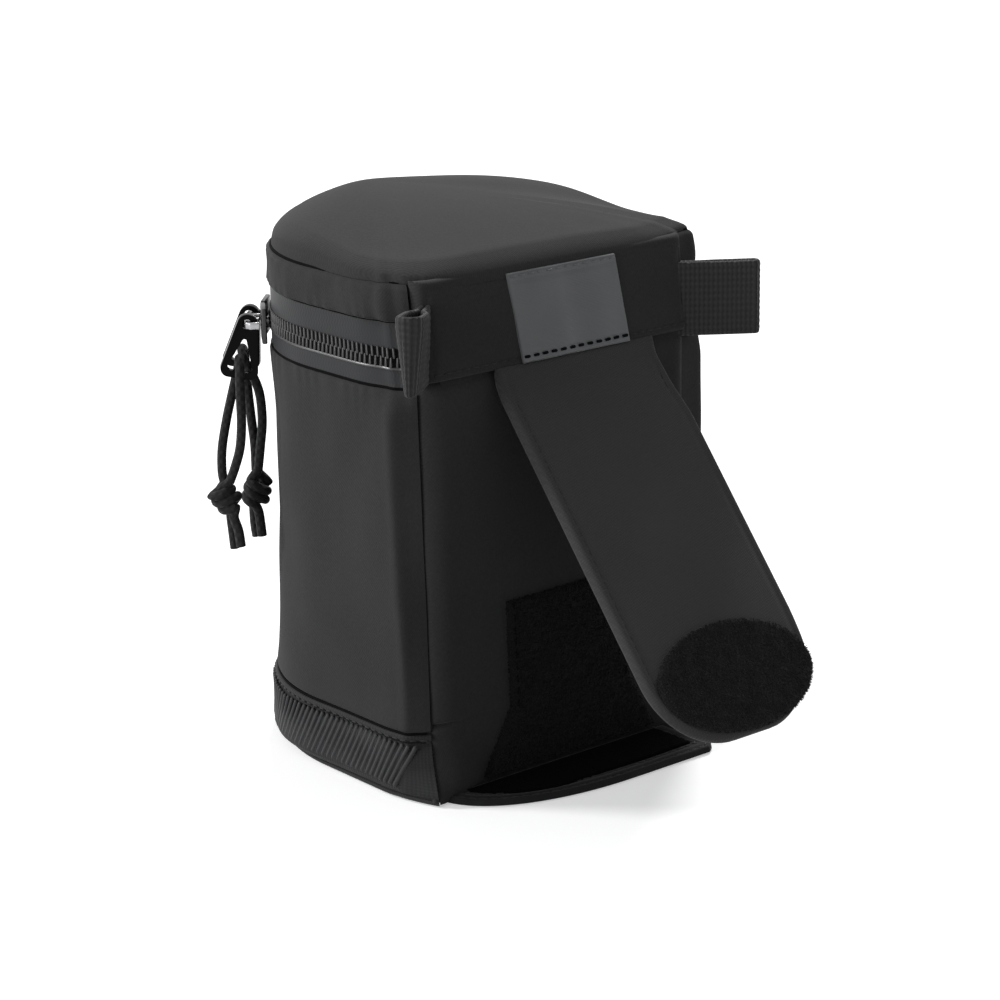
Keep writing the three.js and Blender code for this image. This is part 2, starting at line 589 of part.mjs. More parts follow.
// Each cord's points from the pull's pivot: out of the wall, along the zip, up
const CORDS = {
  left: {
    loop: [
      [4.9, -1.6, -42.0], [3.4, -3.4, -35], [2.2, -3.8, -27], [2.1, -3.6, -19], [2.2, -3.3, -14],
      [2.3, -2.9, -11.2], [2.4, -1.6, -9.4], [2.4, 0, -8.8], [2.5, 1.6, -9.4], [2.6, 2.9, -11.2],
      [2.8, 3.3, -14], [3.6, 3.6, -19], [4.3, 3.8, -27], [4.7, 3.4, -35], [5.2, 1.6, -42.0],
    ],
    knot: [5.2, 0, -47],
    tails: [
      [[5.0, -0.8, -47], [5.5, -1.9, -52], [6.0, -2.4, -57], [6.3, -2.6, -61.5]],
      [[5.2, 0.8, -47], [4.6, 1.9, -51], [4.2, 2.5, -55], [4.0, 2.8, -59]],
    ],
  },
  right: {
    loop: [
      [1.6, -1.6, -42.0], [0.5, -3.4, -35], [0.3, -3.8, -27], [0.9, -3.6, -19], [1.9, -3.3, -14],
      [2.2, -2.9, -11.2], [2.4, -1.6, -9.4], [2.4, 0, -8.8], [2.5, 1.6, -9.4], [2.6, 2.9, -11.2],
      [2.8, 3.3, -14], [3.0, 3.6, -19], [2.9, 3.8, -27], [2.4, 3.4, -35], [1.9, 1.6, -42.0],
    ],
    knot: [1.8, 0, -47],
    tails: [
      [[1.8, -0.8, -47], [2.3, -1.9, -51], [2.6, -2.3, -55], [2.8, -2.4, -59]],
      [[1.7, 0.8, -47], [1.2, 1.9, -51], [1.0, 2.4, -54], [0.9, 2.6, -57]],
    ],
  },
};

function knotGeometry({ knot, tails }) {
  const ball = new THREE.SphereGeometry(KNOT_RADIUS, KNOT_SIDES, KNOT_STEPS).translate(...knot);
  const solid = tails.reduce((sum, points) => sum.add(toSolid(cordTube(points, TAIL_STEPS))), toSolid(ball));
  return fromSolid(solid);
}

function addSlider(side, angle) {
  const slider = new THREE.Group();
  slider.position.set(0, ARC_Y, ZIP_Z);
  slider.rotation.z = -THREE.MathUtils.degToRad(angle);
  pouch.add(slider);
  addPart(slider, `slider_body_${side}`, 'metal', extrudeAcross(sliderBodyShape(), SLIDER_LENGTH));
  const bail = extrude(bailShape(), BAIL_HEIGHT).translate(0, 0, -BAIL_HEIGHT / 2);
  addPart(slider, `slider_bail_${side}`, 'metal', bail);

  const pull = new THREE.Group();
  pull.position.x = pivotX;
  slider.add(pull);
  const frame = addPart(pull, `pull_frame_${side}`, 'pull', extrudeAcross(pullFrameShape(), PULL_THICKNESS));
  frame.rotation.y = -THREE.MathUtils.degToRad(PULL_TILT);
  addPart(pull, `pull_cord_${side}`, 'cord', cordTube(CORDS[side].loop, CORD_STEPS));
  addPart(pull, `pull_knot_${side}`, 'cord', knotGeometry(CORDS[side]));
}

addBase();
addWalls();
addBackFittings();
addZip();
addLid();
addWebbingLoops();
addStrap();
addTuckFlap();
addSlider('left', SLIDERS_MEET - sliderHalfAngle());
addSlider('right', SLIDERS_MEET + sliderHalfAngle());

export default pouch;
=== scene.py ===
import math

import bmesh
import bpy
import numpy as np
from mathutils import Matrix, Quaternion, Vector


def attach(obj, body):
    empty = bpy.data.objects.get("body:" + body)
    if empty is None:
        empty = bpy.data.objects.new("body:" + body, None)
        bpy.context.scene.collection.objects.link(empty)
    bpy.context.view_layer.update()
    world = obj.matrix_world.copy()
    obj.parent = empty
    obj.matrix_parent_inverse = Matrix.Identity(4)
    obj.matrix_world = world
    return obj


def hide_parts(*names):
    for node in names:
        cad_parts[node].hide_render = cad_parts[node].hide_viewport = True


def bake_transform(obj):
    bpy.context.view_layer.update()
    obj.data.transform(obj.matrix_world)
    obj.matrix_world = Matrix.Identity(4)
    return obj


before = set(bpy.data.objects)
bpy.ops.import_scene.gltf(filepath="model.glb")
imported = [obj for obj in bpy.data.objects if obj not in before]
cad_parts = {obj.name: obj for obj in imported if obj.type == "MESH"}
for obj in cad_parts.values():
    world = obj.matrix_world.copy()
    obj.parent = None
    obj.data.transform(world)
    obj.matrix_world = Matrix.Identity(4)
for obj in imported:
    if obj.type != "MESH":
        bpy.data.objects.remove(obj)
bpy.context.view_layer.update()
scene = bpy.context.scene
scene.view_settings.view_transform = "Standard"

# Camera: a long lens from behind the pouch, on the side of its left seam,
# a little above the lid and turned a degree off level.
view_along = Vector((-0.61706, -0.73418, -0.28322))
eye = bpy.data.cameras.new("camera")
eye.lens = 105.88
eye.sensor_width = 36
eye.clip_end = 20
camera = bpy.data.objects.new("camera", eye)
camera.rotation_mode = "QUATERNION"
camera.location = (0.46211, 0.56806, 0.27489)
roll = Quaternion((0, 0, 1), math.radians(-0.82))
camera.rotation_quaternion = view_along.to_track_quat("-Z", "Y") @ roll
scene.collection.objects.link(camera)
scene.camera = camera


# Pull cords: round braided cord, one loop through each pull frame. Both ends go
# into an overhand knot, and the loop hangs from the frame's lower bar.
MM = 0.001
ZIP_Z = 108.9
ARC_Y = 5.75
PULL_OUT = 55.1
PULL_ANGLE = {"left": 33.49833, "right": 44.50167}
CORD_WIDTH = 2.4
CORD_LOOP = {
    "left": [
        (7.5, -1.2, -41.3), (7.9, -1.8, -38.3), (7.6, -2.8, -32.7), (6.2, -3.3, -25.5), (4.6, -3.3, -19),
        (3.3, -3.2, -14), (2.6, -2.9, -11.2), (2.4, -1.6, -9.4), (2.4, 0, -8.8), (2.4, 1.6, -9.4),
        (2.5, 2.9, -11.2), (2.6, 3.3, -14), (2.6, 3.4, -19), (2.6, 3.2, -25), (3.2, 2.8, -31.4),
        (4.7, 1.8, -36.9), (6.1, 1.2, -40.7),
    ],
    "right": [
        (0.3, -1.6, -41.6), (0.5, -2.4, -35.1), (1.2, -3.1, -28.6), (1.8, -3.4, -22), (2.2, -3.3, -15.5),
        (2.3, -2.9, -11.2), (2.4, -1.6, -9.4), (2.4, 0, -8.8), (2.2, 1.6, -9.4), (1.4, 2.9, -11.4),
        (-0.4, 3.3, -14.6), (-2.2, 3.4, -19.8), (-2.6, 3.1, -27), (-1.8, 2.4, -33.8), (-0.8, 1.6, -40.7),
    ],
}
KNOT_PLACE = {"left": (7.2, 0, -45.2), "right": (0.0, 0, -47)}
KNOT_TILT = {"left": 38, "right": -14}
KNOT_RADIUS, KNOT_HEIGHT, KNOT_TURN = 2.55, 5.8, 430
KNOT_FULLNESS = 1.04
CORD_TAILS = {
    "left": [
        [(6.1, -1.3, -50.5), (5.8, -1.4, -54.3), (5.4, -1.4, -59.1)],
        [(5.4, 1.5, -50), (4.4, 1.6, -53.6), (3.9, 1.6, -57.8)],
    ],
    "right": [
        [(1.2, -1.4, -52.4), (1.1, -1.5, -56), (0.7, -1.5, -59.4)],
        [(-0.5, 1.4, -52), (-0.9, 1.5, -55), (-1.2, 1.5, -58.4)],
    ],
}


class Socket:
    """An output of a node. Arithmetic on it adds Math nodes, node() adds any other."""

    def __init__(self, tree, socket=None):
        self.tree = tree
        self.socket = socket

    def node(self, kind, settings=None, inputs=None, output=0):
        made = self.tree.nodes.new(kind)
        for key, value in (settings or {}).items():
            setattr(made, key, value)
        for key, value in (inputs or {}).items():
            self.feed(made.inputs[key], value)
        return Socket(self.tree, made.outputs[output])

    def feed(self, target, value):
        if isinstance(value, Socket):
            self.tree.links.new(value.socket, target)
        else:
            target.default_value = value

    def math(self, operation, first, second=0.0):
        return self.node("ShaderNodeMath", {"operation": operation}, {0: first, 1: second})

    def __add__(self, other):
        return self.math("ADD", self, other)

    def __sub__(self, other):
        return self.math("SUBTRACT", self, other)

    def __rsub__(self, other):
        return self.math("SUBTRACT", other, self)

    def __mul__(self, other):
        return self.math("MULTIPLY", self, other)

    __radd__ = __add__
    __rmul__ = __mul__

    def scaled(self, by):
        return self.node("ShaderNodeVectorMath", {"operation": "SCALE"}, {0: self, "Scale": by})

    def plus(self, vector):
        return self.node("ShaderNodeVectorMath", {"operation": "ADD"}, {0: self, 1: vector})

    def stray(self, seed):
        """A random vector for each point."""
        inputs = {"Min": (-1, -1, -1), "Max": (1, 1, 1), "Seed": seed}
        return self.node("FunctionNodeRandomValue", {"data_type": "FLOAT_VECTOR"}, inputs)

    def wave(self):
        """From 0 to 1 and back, once for each whole number."""
        return 0.5 + 0.5 * self.math("SINE", self * (2 * math.pi))

    def between(self, dark, light):
        """A colour between two, where self is 0 and 1."""
        inputs = {0: self, 6: (*dark, 1), 7: (*light, 1)}
        return self.node("ShaderNodeMix", {"data_type": "RGBA"}, inputs, output=2)

    def noise(self, scale, detail=3.0):
        inputs = {"Vector": self, "Scale": scale, "Detail": detail, "Roughness": 0.6}
        return self.node("ShaderNodeTexNoise", None, inputs)


def finish(name, paint, **constants):
    """A material: constants go on the shader's own sockets, paint feeds what varies."""
    material = bpy.data.materials.new(name)
    material.use_nodes = True
    shader = material.node_tree.nodes["Principled BSDF"]
    for key, value in constants.items():
        shader.inputs[key.replace("_", " ")].default_value = value
    start = Socket(material.node_tree)
    places = start.node("ShaderNodeTexCoord", output="Object")
    across, along, _ = split(start.node("ShaderNodeUVMap"))
    for key, value in paint(places, across, along).items():
        start.feed(shader.inputs[key], value)
    return material


def split(vector):
    parts = vector.node("ShaderNodeSeparateXYZ", None, {0: vector})
    outputs = parts.socket.node.outputs
    return [Socket(vector.tree, outputs[i]) for i in range(3)]


def relief(height, depth, strength=1.0):
    """A bump of that depth in millimetres."""
    inputs = {"Height": height, "Distance": depth * MM, "Strength": strength}
    return height.node("ShaderNodeBump", None, inputs)


def braid(places, across, along):
    strand = (along * 0.42 + across * 0.53).wave() * (along * 0.42 - across * 0.53).wave()
    worn = places.noise(260)
    return {
        "Base Color": (strand * 0.5 + worn * 0.5).between((0.007, 0.007, 0.0075), (0.020, 0.020, 0.021)),
        "Roughness": 0.72 + 0.2 * worn,
        "Normal": relief(strand, 0.2),
    }


cord_finish = finish("braided_cord", braid, Sheen_Weight=0.05, Specular_IOR_Level=0.25)


def run_length(line):
    """How far along a line each of its points is."""
    return np.concatenate([[0], np.cumsum(np.linalg.norm(np.diff(line, axis=0), axis=1))])


def even(line, step):
    """The same line with its points about one step apart."""
    line = np.asarray(line, float)
    length = run_length(line)
    at = np.linspace(0, length[-1], max(2, round(length[-1] / step) + 1))
    return np.stack([np.interp(at, length, column) for column in line.T], axis=1)


def smooth_line(points, step):
    """A smooth curve through the points."""
    p = np.asarray(points, float)
    p = np.vstack([2 * p[0] - p[1], p, 2 * p[-1] - p[-2]])
    t = np.linspace(0, 1, 20, endpoint=False)[:, None]
    runs = [
        b + 0.5 * ((c - a) * t + (2 * a - 5 * b + 4 * c - d) * t**2 + (3 * b - a - 3 * c + d) * t**3)
        for a, b, c, d in zip(p, p[1:], p[2:], p[3:])
    ]
    return even(np.vstack([*runs, p[-2:-1]]), step)


def unit(vectors):
    return vectors / np.linalg.norm(vectors, axis=-1, keepdims=True)


def chart(down, across):
    """Texture places of a grid: how far down and across each point is."""
    return np.stack(np.broadcast_arrays(down[:, None], across[None, :]), axis=-1)


def tube(line, radius, sides=14):
    """Rings of a round tube along a line, and how far along and around each point is."""
    tangent = unit(np.gradient(line, axis=0))
    side = np.cross(tangent[0], (0.31, 0.52, 0.8))
    turn = np.linspace(0, 2 * math.pi, sides, endpoint=False)[:, None]
    radii = np.broadcast_to(radius, (len(line),))
    rings = []
    for point, forward, r in zip(line, tangent, radii):
        side = side - forward * (side @ forward)
        side = side / np.linalg.norm(side)
        up = np.cross(forward, side)
        rings.append(point + r * (np.cos(turn) * side + np.sin(turn) * up))
    around = np.linspace(0, 2 * math.pi, sides + 1) * radii.max()
    return np.array(rings), chart(run_length(line), around)[..., ::-1]


def shown(name, made, material, sharp):
    """Puts a built mesh in the scene, smooth but for edges past that angle."""
    mesh = bpy.data.meshes.new(name)
    made.to_mesh(mesh)
    made.free()
    mesh.polygons.foreach_set("use_smooth", np.ones(len(mesh.polygons), bool))
    mesh.set_sharp_from_angle(angle=math.radians(sharp))
    mesh.materials.append(material)
    obj = bpy.data.objects.new(name, mesh)
    scene.collection.objects.link(obj)
    return obj


def piece(name, surfaces, material):
    """A closed piece from grids of points: (rows, uv, wraps round, has end caps)."""
    made = bmesh.new()
    layer = made.loops.layers.uv.new("UVMap")
    for rows, uv, wraps, capped in surfaces:
        verts = [[made.verts.new(p * MM) for p in row] for row in rows]
        count = len(rows[0])
        columns = range(count if wraps else count - 1)
        for i in range(len(rows) - 1):
            for j in columns:
                corners = [(i, j), (i, j + 1), (i + 1, j + 1), (i + 1, j)]
                face = made.faces.new([verts[a][b % count] for a, b in corners])
                for loop, corner in zip(face.loops, corners):
                    loop[layer].uv = uv[corner]
        for end in (0, -1) if capped else ():
            order = 1 if end else -1
            face = made.faces.new(verts[end][::order])
            for loop, place in zip(face.loops, uv[end][:count][::order]):
                loop[layer].uv = place
    bmesh.ops.remove_doubles(made, verts=made.verts, dist=2e-6)
    bmesh.ops.dissolve_degenerate(made, edges=made.edges, dist=1e-6)
    bmesh.ops.recalc_face_normals(made, faces=made.faces)
    if made.calc_volume(signed=True) < 0:
        bmesh.ops.reverse_faces(made, faces=made.faces)
    return shown(name, made, material, 40)


def rod(name, line, radius, material, sides=14):
    """A closed round piece along a line."""
    return piece(name, [(*tube(line, radius, sides), True, True)], material)


def fit(obj, body, slot, *solids):
    """Hangs a piece on its body and hides the solids that it stands for; the slot is not used."""
    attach(obj, body)
    if solids:
        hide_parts(*solids)


def from_pull(side, points):
    """Points out of the wall, along the zip and up from a pull's pivot, as places in millimetres."""
    out, along, up = np.asarray(points, float).T
    turn = math.radians(PULL_ANGLE[side])
    out = out + PULL_OUT
    x = out * math.cos(turn) + along * math.sin(turn)
    y = ARC_Y - out * math.sin(turn) + along * math.cos(turn)
    return np.stack([x, y, ZIP_Z + up], axis=1)


def knot_strand(side, start, tail, phase):
    """One end of the cord: from the loop round the knot's barrel and out as a tail."""
    turn = np.linspace(0, KNOT_TURN, 22)
    angle = np.radians(turn + phase)
    fall = KNOT_HEIGHT / 2 - KNOT_HEIGHT * turn / KNOT_TURN
    barrel = np.stack([KNOT_RADIUS * np.cos(angle), KNOT_RADIUS * np.sin(angle), fall], axis=1)
    tilt = math.radians(KNOT_TILT[side])
    tilted = np.array([[math.cos(tilt), 0, math.sin(tilt)], [0, 1, 0], [-math.sin(tilt), 0, math.cos(tilt)]])
    barrel = barrel @ tilted.T + np.array(KNOT_PLACE[side])
    return from_pull(side, smooth_line([start, *barrel, *tail], 0.5))


for side in ("left", "right"):
    loop = CORD_LOOP[side]
    strands = [
        knot_strand(side, loop[0], CORD_TAILS[side][0], 215),
        knot_strand(side, loop[-1], CORD_TAILS[side][1], 35),
    ]
    coils = [(*tube(strand, CORD_WIDTH / 2 * KNOT_FULLNESS), True, True) for strand in strands]
    knot = piece(f"cord_knot_{side}", coils, cord_finish)
    fit(knot, f"pull_{side}", "cord", f"pull_knot_{side}")
    route = from_pull(side, smooth_line(loop, 0.5))
    cord = rod(f"cord_loop_{side}", route, CORD_WIDTH / 2, cord_finish)
    fit(cord, f"pull_{side}", "cord", f"pull_cord_{side}")


# Padded wall: charcoal twill over foam, one panel from the rear seam on one side round
# the front to the other. Its lower edge is turned in at the band, its upper at the zip.
FRONT_RADIUS = 50
BACK_Y = 44.25
WALL_FOOT = 17.6
SEAM = (44, 42)
CREASE = (50, 38.3)
BODY_TOP = 103.3
LID_SEAM = 129.5
LID_LEAN = 3
CREASE_RIDGE = 0.35
CORNER_Z = (0, 10, 20, 47, 67, 103, 130)
CORNER_SEAM_X = (45.6, 44.7, 43.8, 43.6, 44.0, 44.8, 44.8)
CORNER_SEAM_Y = (48.2, 44.6, 42.8, 42.1, 41.8, 41.6, 41.6)
CORNER_CREASE_Y = (38.5, 39.5, 40.4, 39.9, 38.2, 37.3, 37.3)
RIGHT_SEAM_X = 41.2
RIGHT_CREASE = (0.7, 1.3)


def arc(centre, radius, start, end, count):
    angle = np.radians(np.linspace(start, end, count))
    return np.stack([centre[0] + radius * np.cos(angle), centre[1] + radius * np.sin(angle)], axis=1)


def wall_plan(step):
    """The wall's line in plan from the rear seam on +X to the one on -X. The side ends in a
    crease, and a strip turns in from it to the seam."""
    front = arc((0, ARC_Y), FRONT_RADIUS, 0, -180, 120)
    mirror = np.array([CREASE, SEAM]) * (-1, 1)
    line = even(np.vstack([[SEAM, CREASE], front, mirror]), step)
    for _ in range(3):
        line[1:-1] = (line[:-2] + 2 * line[1:-1] + line[2:]) / 4
    return line


def left_of(line):
    """The level direction that stands square on a line, to the left along it."""
    tangent = unit(np.gradient(line, axis=0))
    return np.stack([-tangent[:, 1], tangent[:, 0]], axis=1)


def hump(distance, width):
    """1 at no distance, falling off smoothly within about one width."""
    return np.exp(-((distance / width) ** 2))


plan = wall_plan(1.0)
plan_along = run_length(plan)
plan_out = left_of(plan)
deep_out = plan_out.copy()
for _ in range(60):
    deep_out[1:-1] = unit(deep_out[:-2] + 2 * deep_out[1:-1] + deep_out[2:])
corner_start = math.dist(SEAM, CREASE)
from_seam = np.minimum(plan_along, plan_along[-1] - plan_along)
plan = plan + plan_out * (CREASE_RIDGE * hump(from_seam - corner_start, 1.8))[:, None]
rear_share = np.clip((plan[:, 1] - ARC_Y) / (CREASE[1] - ARC_Y), 0, 1)
near_seam = np.clip(1 - from_seam / corner_start, 0, 1)
near_crease = np.interp(from_seam, [0, corner_start, corner_start + 14], [0, 1, 0])
at_crease = hump(from_seam - corner_start, 3.6)
round_crease = hump(from_seam - corner_start, 7.5) * np.clip(1.5 * (1 - near_seam), 0, 1)


def ease(t):
    t = np.clip(t, 0, 1)
    return t * t * (3 - 2 * t)


def corner_move(z):
    """How far the rear corners stand from the plan at each height, as moves in x and y."""
    left = plan[:, :1] > 0
    seam, crease = near_seam[:, None], near_crease[:, None]
    seam_x = np.interp(z, CORNER_Z, CORNER_SEAM_X) - SEAM[0]
    seam_y = np.interp(z, CORNER_Z, CORNER_SEAM_Y) - SEAM[1]
    crease_y = np.interp(z, CORNER_Z, CORNER_CREASE_Y) - CREASE[1]
    worn = at_crease[:, None] * ease((56 - z) / 40)
    bent = round_crease[:, None] * ease((z - 96) / 8)
    left_x = seam * seam_x - 1.0 * worn - 2.1 * bent
    right_x = seam * (SEAM[0] - RIGHT_SEAM_X) - crease * RIGHT_CREASE[0] + 1.0 * worn + 0.8 * bent
    crease_y = np.where(left, crease_y, RIGHT_CREASE[1])
    move_y = seam * seam_y + crease * crease_y - 0.5 * worn - np.where(left, 1.1, 0.4) * bent
    return np.where(left, left_x, right_x), move_y


def lean(z):
    return LID_LEAN * np.clip((z - BODY_TOP) / (LID_SEAM - BODY_TOP), 0, 1)


def on_wall(inset, z):
    """Places on the wall for each point of the plan: inset and z broadcast over the plan's points."""
    inset, z = np.broadcast_arrays(inset, z)
    out = np.broadcast_to(inset, (len(plan), inset.shape[-1]))
    high = np.broadcast_to(z, out.shape)
    deep = np.clip((out - 2) / 4, 0, 1)[..., None]
    facing = unit(plan_out[:, None] * (1 - deep) + deep_out[:, None] * deep)
    move_x, move_y = corner_move(high)
    x = plan[:, :1] + move_x - facing[..., 0] * out
    y = plan[:, 1:] + move_y - facing[..., 1] * out - lean(high) * rear_share[:, None]
    return np.stack([x, y, high], axis=-1)


def ripple(u, v, length, seed):
    """Smooth random hills about one length apart, mostly from -1 to 1."""
    draw = np.random.default_rng(seed)
    total = 0
    for _ in range(6):
        heading, phase = draw.uniform(0, 2 * math.pi, 2)
        size = length * draw.uniform(0.75, 1.4)
        total = total + np.sin(2 * math.pi * (u * math.cos(heading) + v * math.sin(heading)) / size + phase)
    return total / 3.5


def rolled(low, high, front, back, roll, rows):
    """A wall's cross-section as (inset, height): a face with turned-in edges and a flat back."""
    turn = np.radians(np.linspace(0, 90, 7))[:-1]
    lower = np.stack([front + roll * (1 - np.sin(turn)), low + roll * (1 - np.cos(turn))], axis=1)
    upper = np.stack([front + roll * (1 - np.sin(turn)), high - roll * (1 - np.cos(turn))], axis=1)[::-1]
    face = np.stack([np.full(rows, front), np.linspace(low + roll, high - roll, rows)], axis=1)
    back_face = np.stack([np.full(3, back), np.linspace(high, low, 3)], axis=1)
    return np.vstack([lower, face, upper, back_face])


def flat(along, z):
    return 0 * along * z


def wall_piece(name, profile, material, swell=flat):
    """A strip of the wall with that cross-section; swell moves its face outwards."""
    inset, z = profile.T
    front = inset.min()
    share = np.clip(1 - (inset - front) / 1.6, 0, 1)
    moved = inset[None, :] - share[None, :] * swell(plan_along[:, None], z[None, :])
    rows = on_wall(moved, z)
    around = run_length(np.vstack([profile, profile[:1]]))
    return piece(name, [(rows, chart(plan_along, around), True, True)], material)


def twill(places, across, along):
    ridge = (across * 1.6 + along * 1.2).wave()
    thread = (across * 1.9 - along * 2.5).wave()
    weave = ridge * (0.7 + 0.3 * thread)
    faded = places.noise(24, 4)
    lint = places.noise(1500, 2)
    tone = weave * 0.1 + faded * 0.44 + lint * 0.46
    return {
        "Base Color": tone.between((0.0152, 0.0152, 0.0153), (0.0485, 0.0485, 0.0487)),
        "Roughness": 0.95 - 0.1 * weave,
        "Normal": relief(weave * 0.5 + lint, 0.07, 0.7),
    }


cloth_finish = finish(
    "charcoal_twill", twill, Sheen_Weight=0.05, Sheen_Roughness=0.5, Specular_IOR_Level=0.12,
)


def flare(along, z):
    """The foot of the round front stands out a little, the middle of the wall is slack."""
    front = np.clip((np.minimum(along, plan_along[-1] - along) - 30) / 25, 0, 1)
    return np.interp(z, [0, 8, 18, 34, 60, 85, 103], [2.0, 1.6, 0.8, 0, -1.0, -1.0, -0.4]) * front


def gathers(along, beat, drift):
    """Small uneven puckers along a sewn edge, from -1 to 1."""
    return np.sin(along * beat + 2 * np.sin(along * drift))


def wall_swell(along, z):
    hollow = -0.5 * np.sin(math.pi * np.clip((z - 18) / 86, 0, 1)) + flare(along, z)
    hills = 0.45 * ripple(along, z, 46, 3) + 0.22 * ripple(along, z, 19, 4)
    pucker = 0.26 * gathers(along, 1.25, 0.31) * np.exp(-(BODY_TOP - z) / 3)
    fade = np.clip((z - 18) / 6, 0, 1) * np.clip((BODY_TOP + 1 - z) / 4, 0.15, 1)
    return hollow + hills * fade + pucker


wall_section = rolled(WALL_FOOT, 103.2, front=0, back=6.9, roll=1.3, rows=56)
wall = wall_piece("wall_cloth", wall_section, cloth_finish, wall_swell)
fit(wall, "pouch_body", "cloth", "wrap_panel", "wall_foam")


# Base: a stiff panel of the band's cloth under a foam disc, with its edge turned in
# under the band. It is what the pouch stands on.
BASE_BACK_HALF = 40.5


def whole_plan(step):
    """The closed outline: the wall's line and the straight back between the rear seams."""
    corners = [(-BASE_BACK_HALF, BACK_Y), (BASE_BACK_HALF, BACK_Y)]
    back = even([plan[-1], *corners, plan[0]], step)[1:-1]
    line = np.vstack([plan, back])
    x, y = unit(np.roll(line, -1, axis=0) - np.roll(line, 1, axis=0)).T
    out = np.stack([-y, x], axis=1)
    for _ in range(2):
        out = unit(np.roll(out, 1, axis=0) + 2 * out + np.roll(out, -1, axis=0))
    return line, out


outline, outline_out = whole_plan(1.5)


def outline_at(z):
    """The closed outline at one height, with its rear corners in their places there."""
    move_x, move_y = corner_move(np.array([[z]]))
    ring = outline.copy()
    ring[:len(plan)] += np.column_stack([move_x, move_y])
    ring[:, 1] -= lean(z) * np.clip((outline[:, 1] - ARC_Y) / (CREASE[1] - ARC_Y), 0, 1)
    return ring


def stacked(name, rings, material):
    """A closed piece from closed rings, with texture places as seen from above."""
    rows = np.array(rings)
    uv = rows[:, :, :2] + (0, 1) * rows[:, :, 2:]
    return piece(name, [(rows, np.concatenate([uv, uv[:, :1]], axis=1), True, True)], material)


def disc(name, steps, material):
    """A flat closed piece with the pouch's outline, from (inset, height) steps."""
    rings = []
    for inset, z in steps:
        ring = outline_at(z) - outline_out * inset
        rings.append(np.column_stack([ring, np.full(len(ring), z)]))
    return stacked(name, rings, material)


def heavy_cloth(places, across, along):
    weave = (across * 1.1).wave() * 0.5 + (along * 1.3).wave() * 0.5
    worn = places.noise(60, 4)
    tone = weave * 0.35 + worn * 0.6
    return {
        "Base Color": tone.between((0.0075, 0.0076, 0.0082), (0.023, 0.0234, 0.025)),
        "Roughness": 0.8 - 0.2 * worn,
        "Normal": relief(weave + worn, 0.12, 0.7),
    }


band_finish = finish("heavy_band_cloth", heavy_cloth, Sheen_Weight=0.05, Specular_IOR_Level=0.2)
turned_in = [(3.2, 1.6), (1.2, 1.5), (0.5, 1.2), (0.4, 0.7), (0.8, 0.25), (1.8, 0), (6, 0)]
base = disc("base_cloth", turned_in, band_finish)
fit(base, "pouch_body", "ribbed_cloth", "base_panel", "base_foam")


# Base band: heavy cloth with slanting ribs round the foot of the wall, its top edge folded
# and stitched. The ribs are woven cords, all leaning the same way.
RIB_PITCH = 1.9
RIB_SLANT = 30
RIB_LENGTH = 13.6
RIB_WIDTH = 1.25


def node_tree(name, sizes):
    """A geometry node tree with named sizes, and the wrapped sockets of its inputs."""
    tree = bpy.data.node_groups.new(name, "GeometryNodeTree")
    kinds = {"Geometry": "NodeSocketGeometry", "Finish": "NodeSocketMaterial"}
    for key in ("Geometry", "Finish", *sizes):
        tree.interface.new_socket(key, in_out="INPUT", socket_type=kinds.get(key, "NodeSocketFloat"))
    tree.interface.new_socket("Geometry", in_out="OUTPUT", socket_type="NodeSocketGeometry")
    start = tree.nodes.new("NodeGroupInput")
    return tree, {socket.name: Socket(tree, socket) for socket in start.outputs if socket.name}


def plant(tree, points, shape, heading, material, **scale):
    """Ends a tree: the shape on each point, turned to its heading, as real geometry in that material."""
    turn = points.node("FunctionNodeAlignRotationToVector", {"axis": "Z"}, {"Vector": heading})
    inputs = {"Points": points, "Instance": shape, "Rotation": turn, **scale}
    instances = points.node("GeometryNodeInstanceOnPoints", None, inputs)
    real = instances.node("GeometryNodeRealizeInstances", None, {0: instances})
    smooth = real.node("GeometryNodeSetShadeSmooth", None, {0: real})
    coloured = smooth.node("GeometryNodeSetMaterial", None, {"Geometry": smooth, "Material": material})
    end = tree.nodes.new("NodeGroupOutput")
    tree.links.new(coloured.socket, end.inputs[0])


def capsule_rows():
    """Capsules set along lines: threads of a seam, ribs of a band or teeth of a coil."""
    tree, size = node_tree("capsule_rows", ("Pitch", "Length", "Thickness", "Along", "Up", "Jitter"))
    curve = size["Geometry"].node("GeometryNodeMeshToCurve", None, {0: size["Geometry"]})
    inputs = {"Curve": curve, "Length": size["Pitch"]}
    points = curve.node("GeometryNodeCurveToPoints", {"mode": "LENGTH"}, inputs)
    tangent = Socket(tree, points.socket.node.outputs["Tangent"])
    upward = points.node("ShaderNodeCombineXYZ", None, {"Z": size["Up"]})
    heading = tangent.scaled(size["Along"]).plus(upward).plus(points.stray(7).scaled(size["Jitter"]))
    radius = size["Thickness"] * 0.5
    ball = points.node("GeometryNodeMeshUVSphere", None, {"Segments": 8, "Rings": 6, "Radius": radius})
    above = points.math("SIGN", split(points.node("GeometryNodeInputPosition"))[2])
    stretch = points.node("ShaderNodeCombineXYZ", None, {"Z": above * (size["Length"] * 0.5 - radius)})
    capsule = ball.node("GeometryNodeSetPosition", None, {"Geometry": ball, "Offset": stretch})
    plant(tree, points, capsule, heading, size["Finish"])
    return tree


CAPSULE_ROWS = capsule_rows()


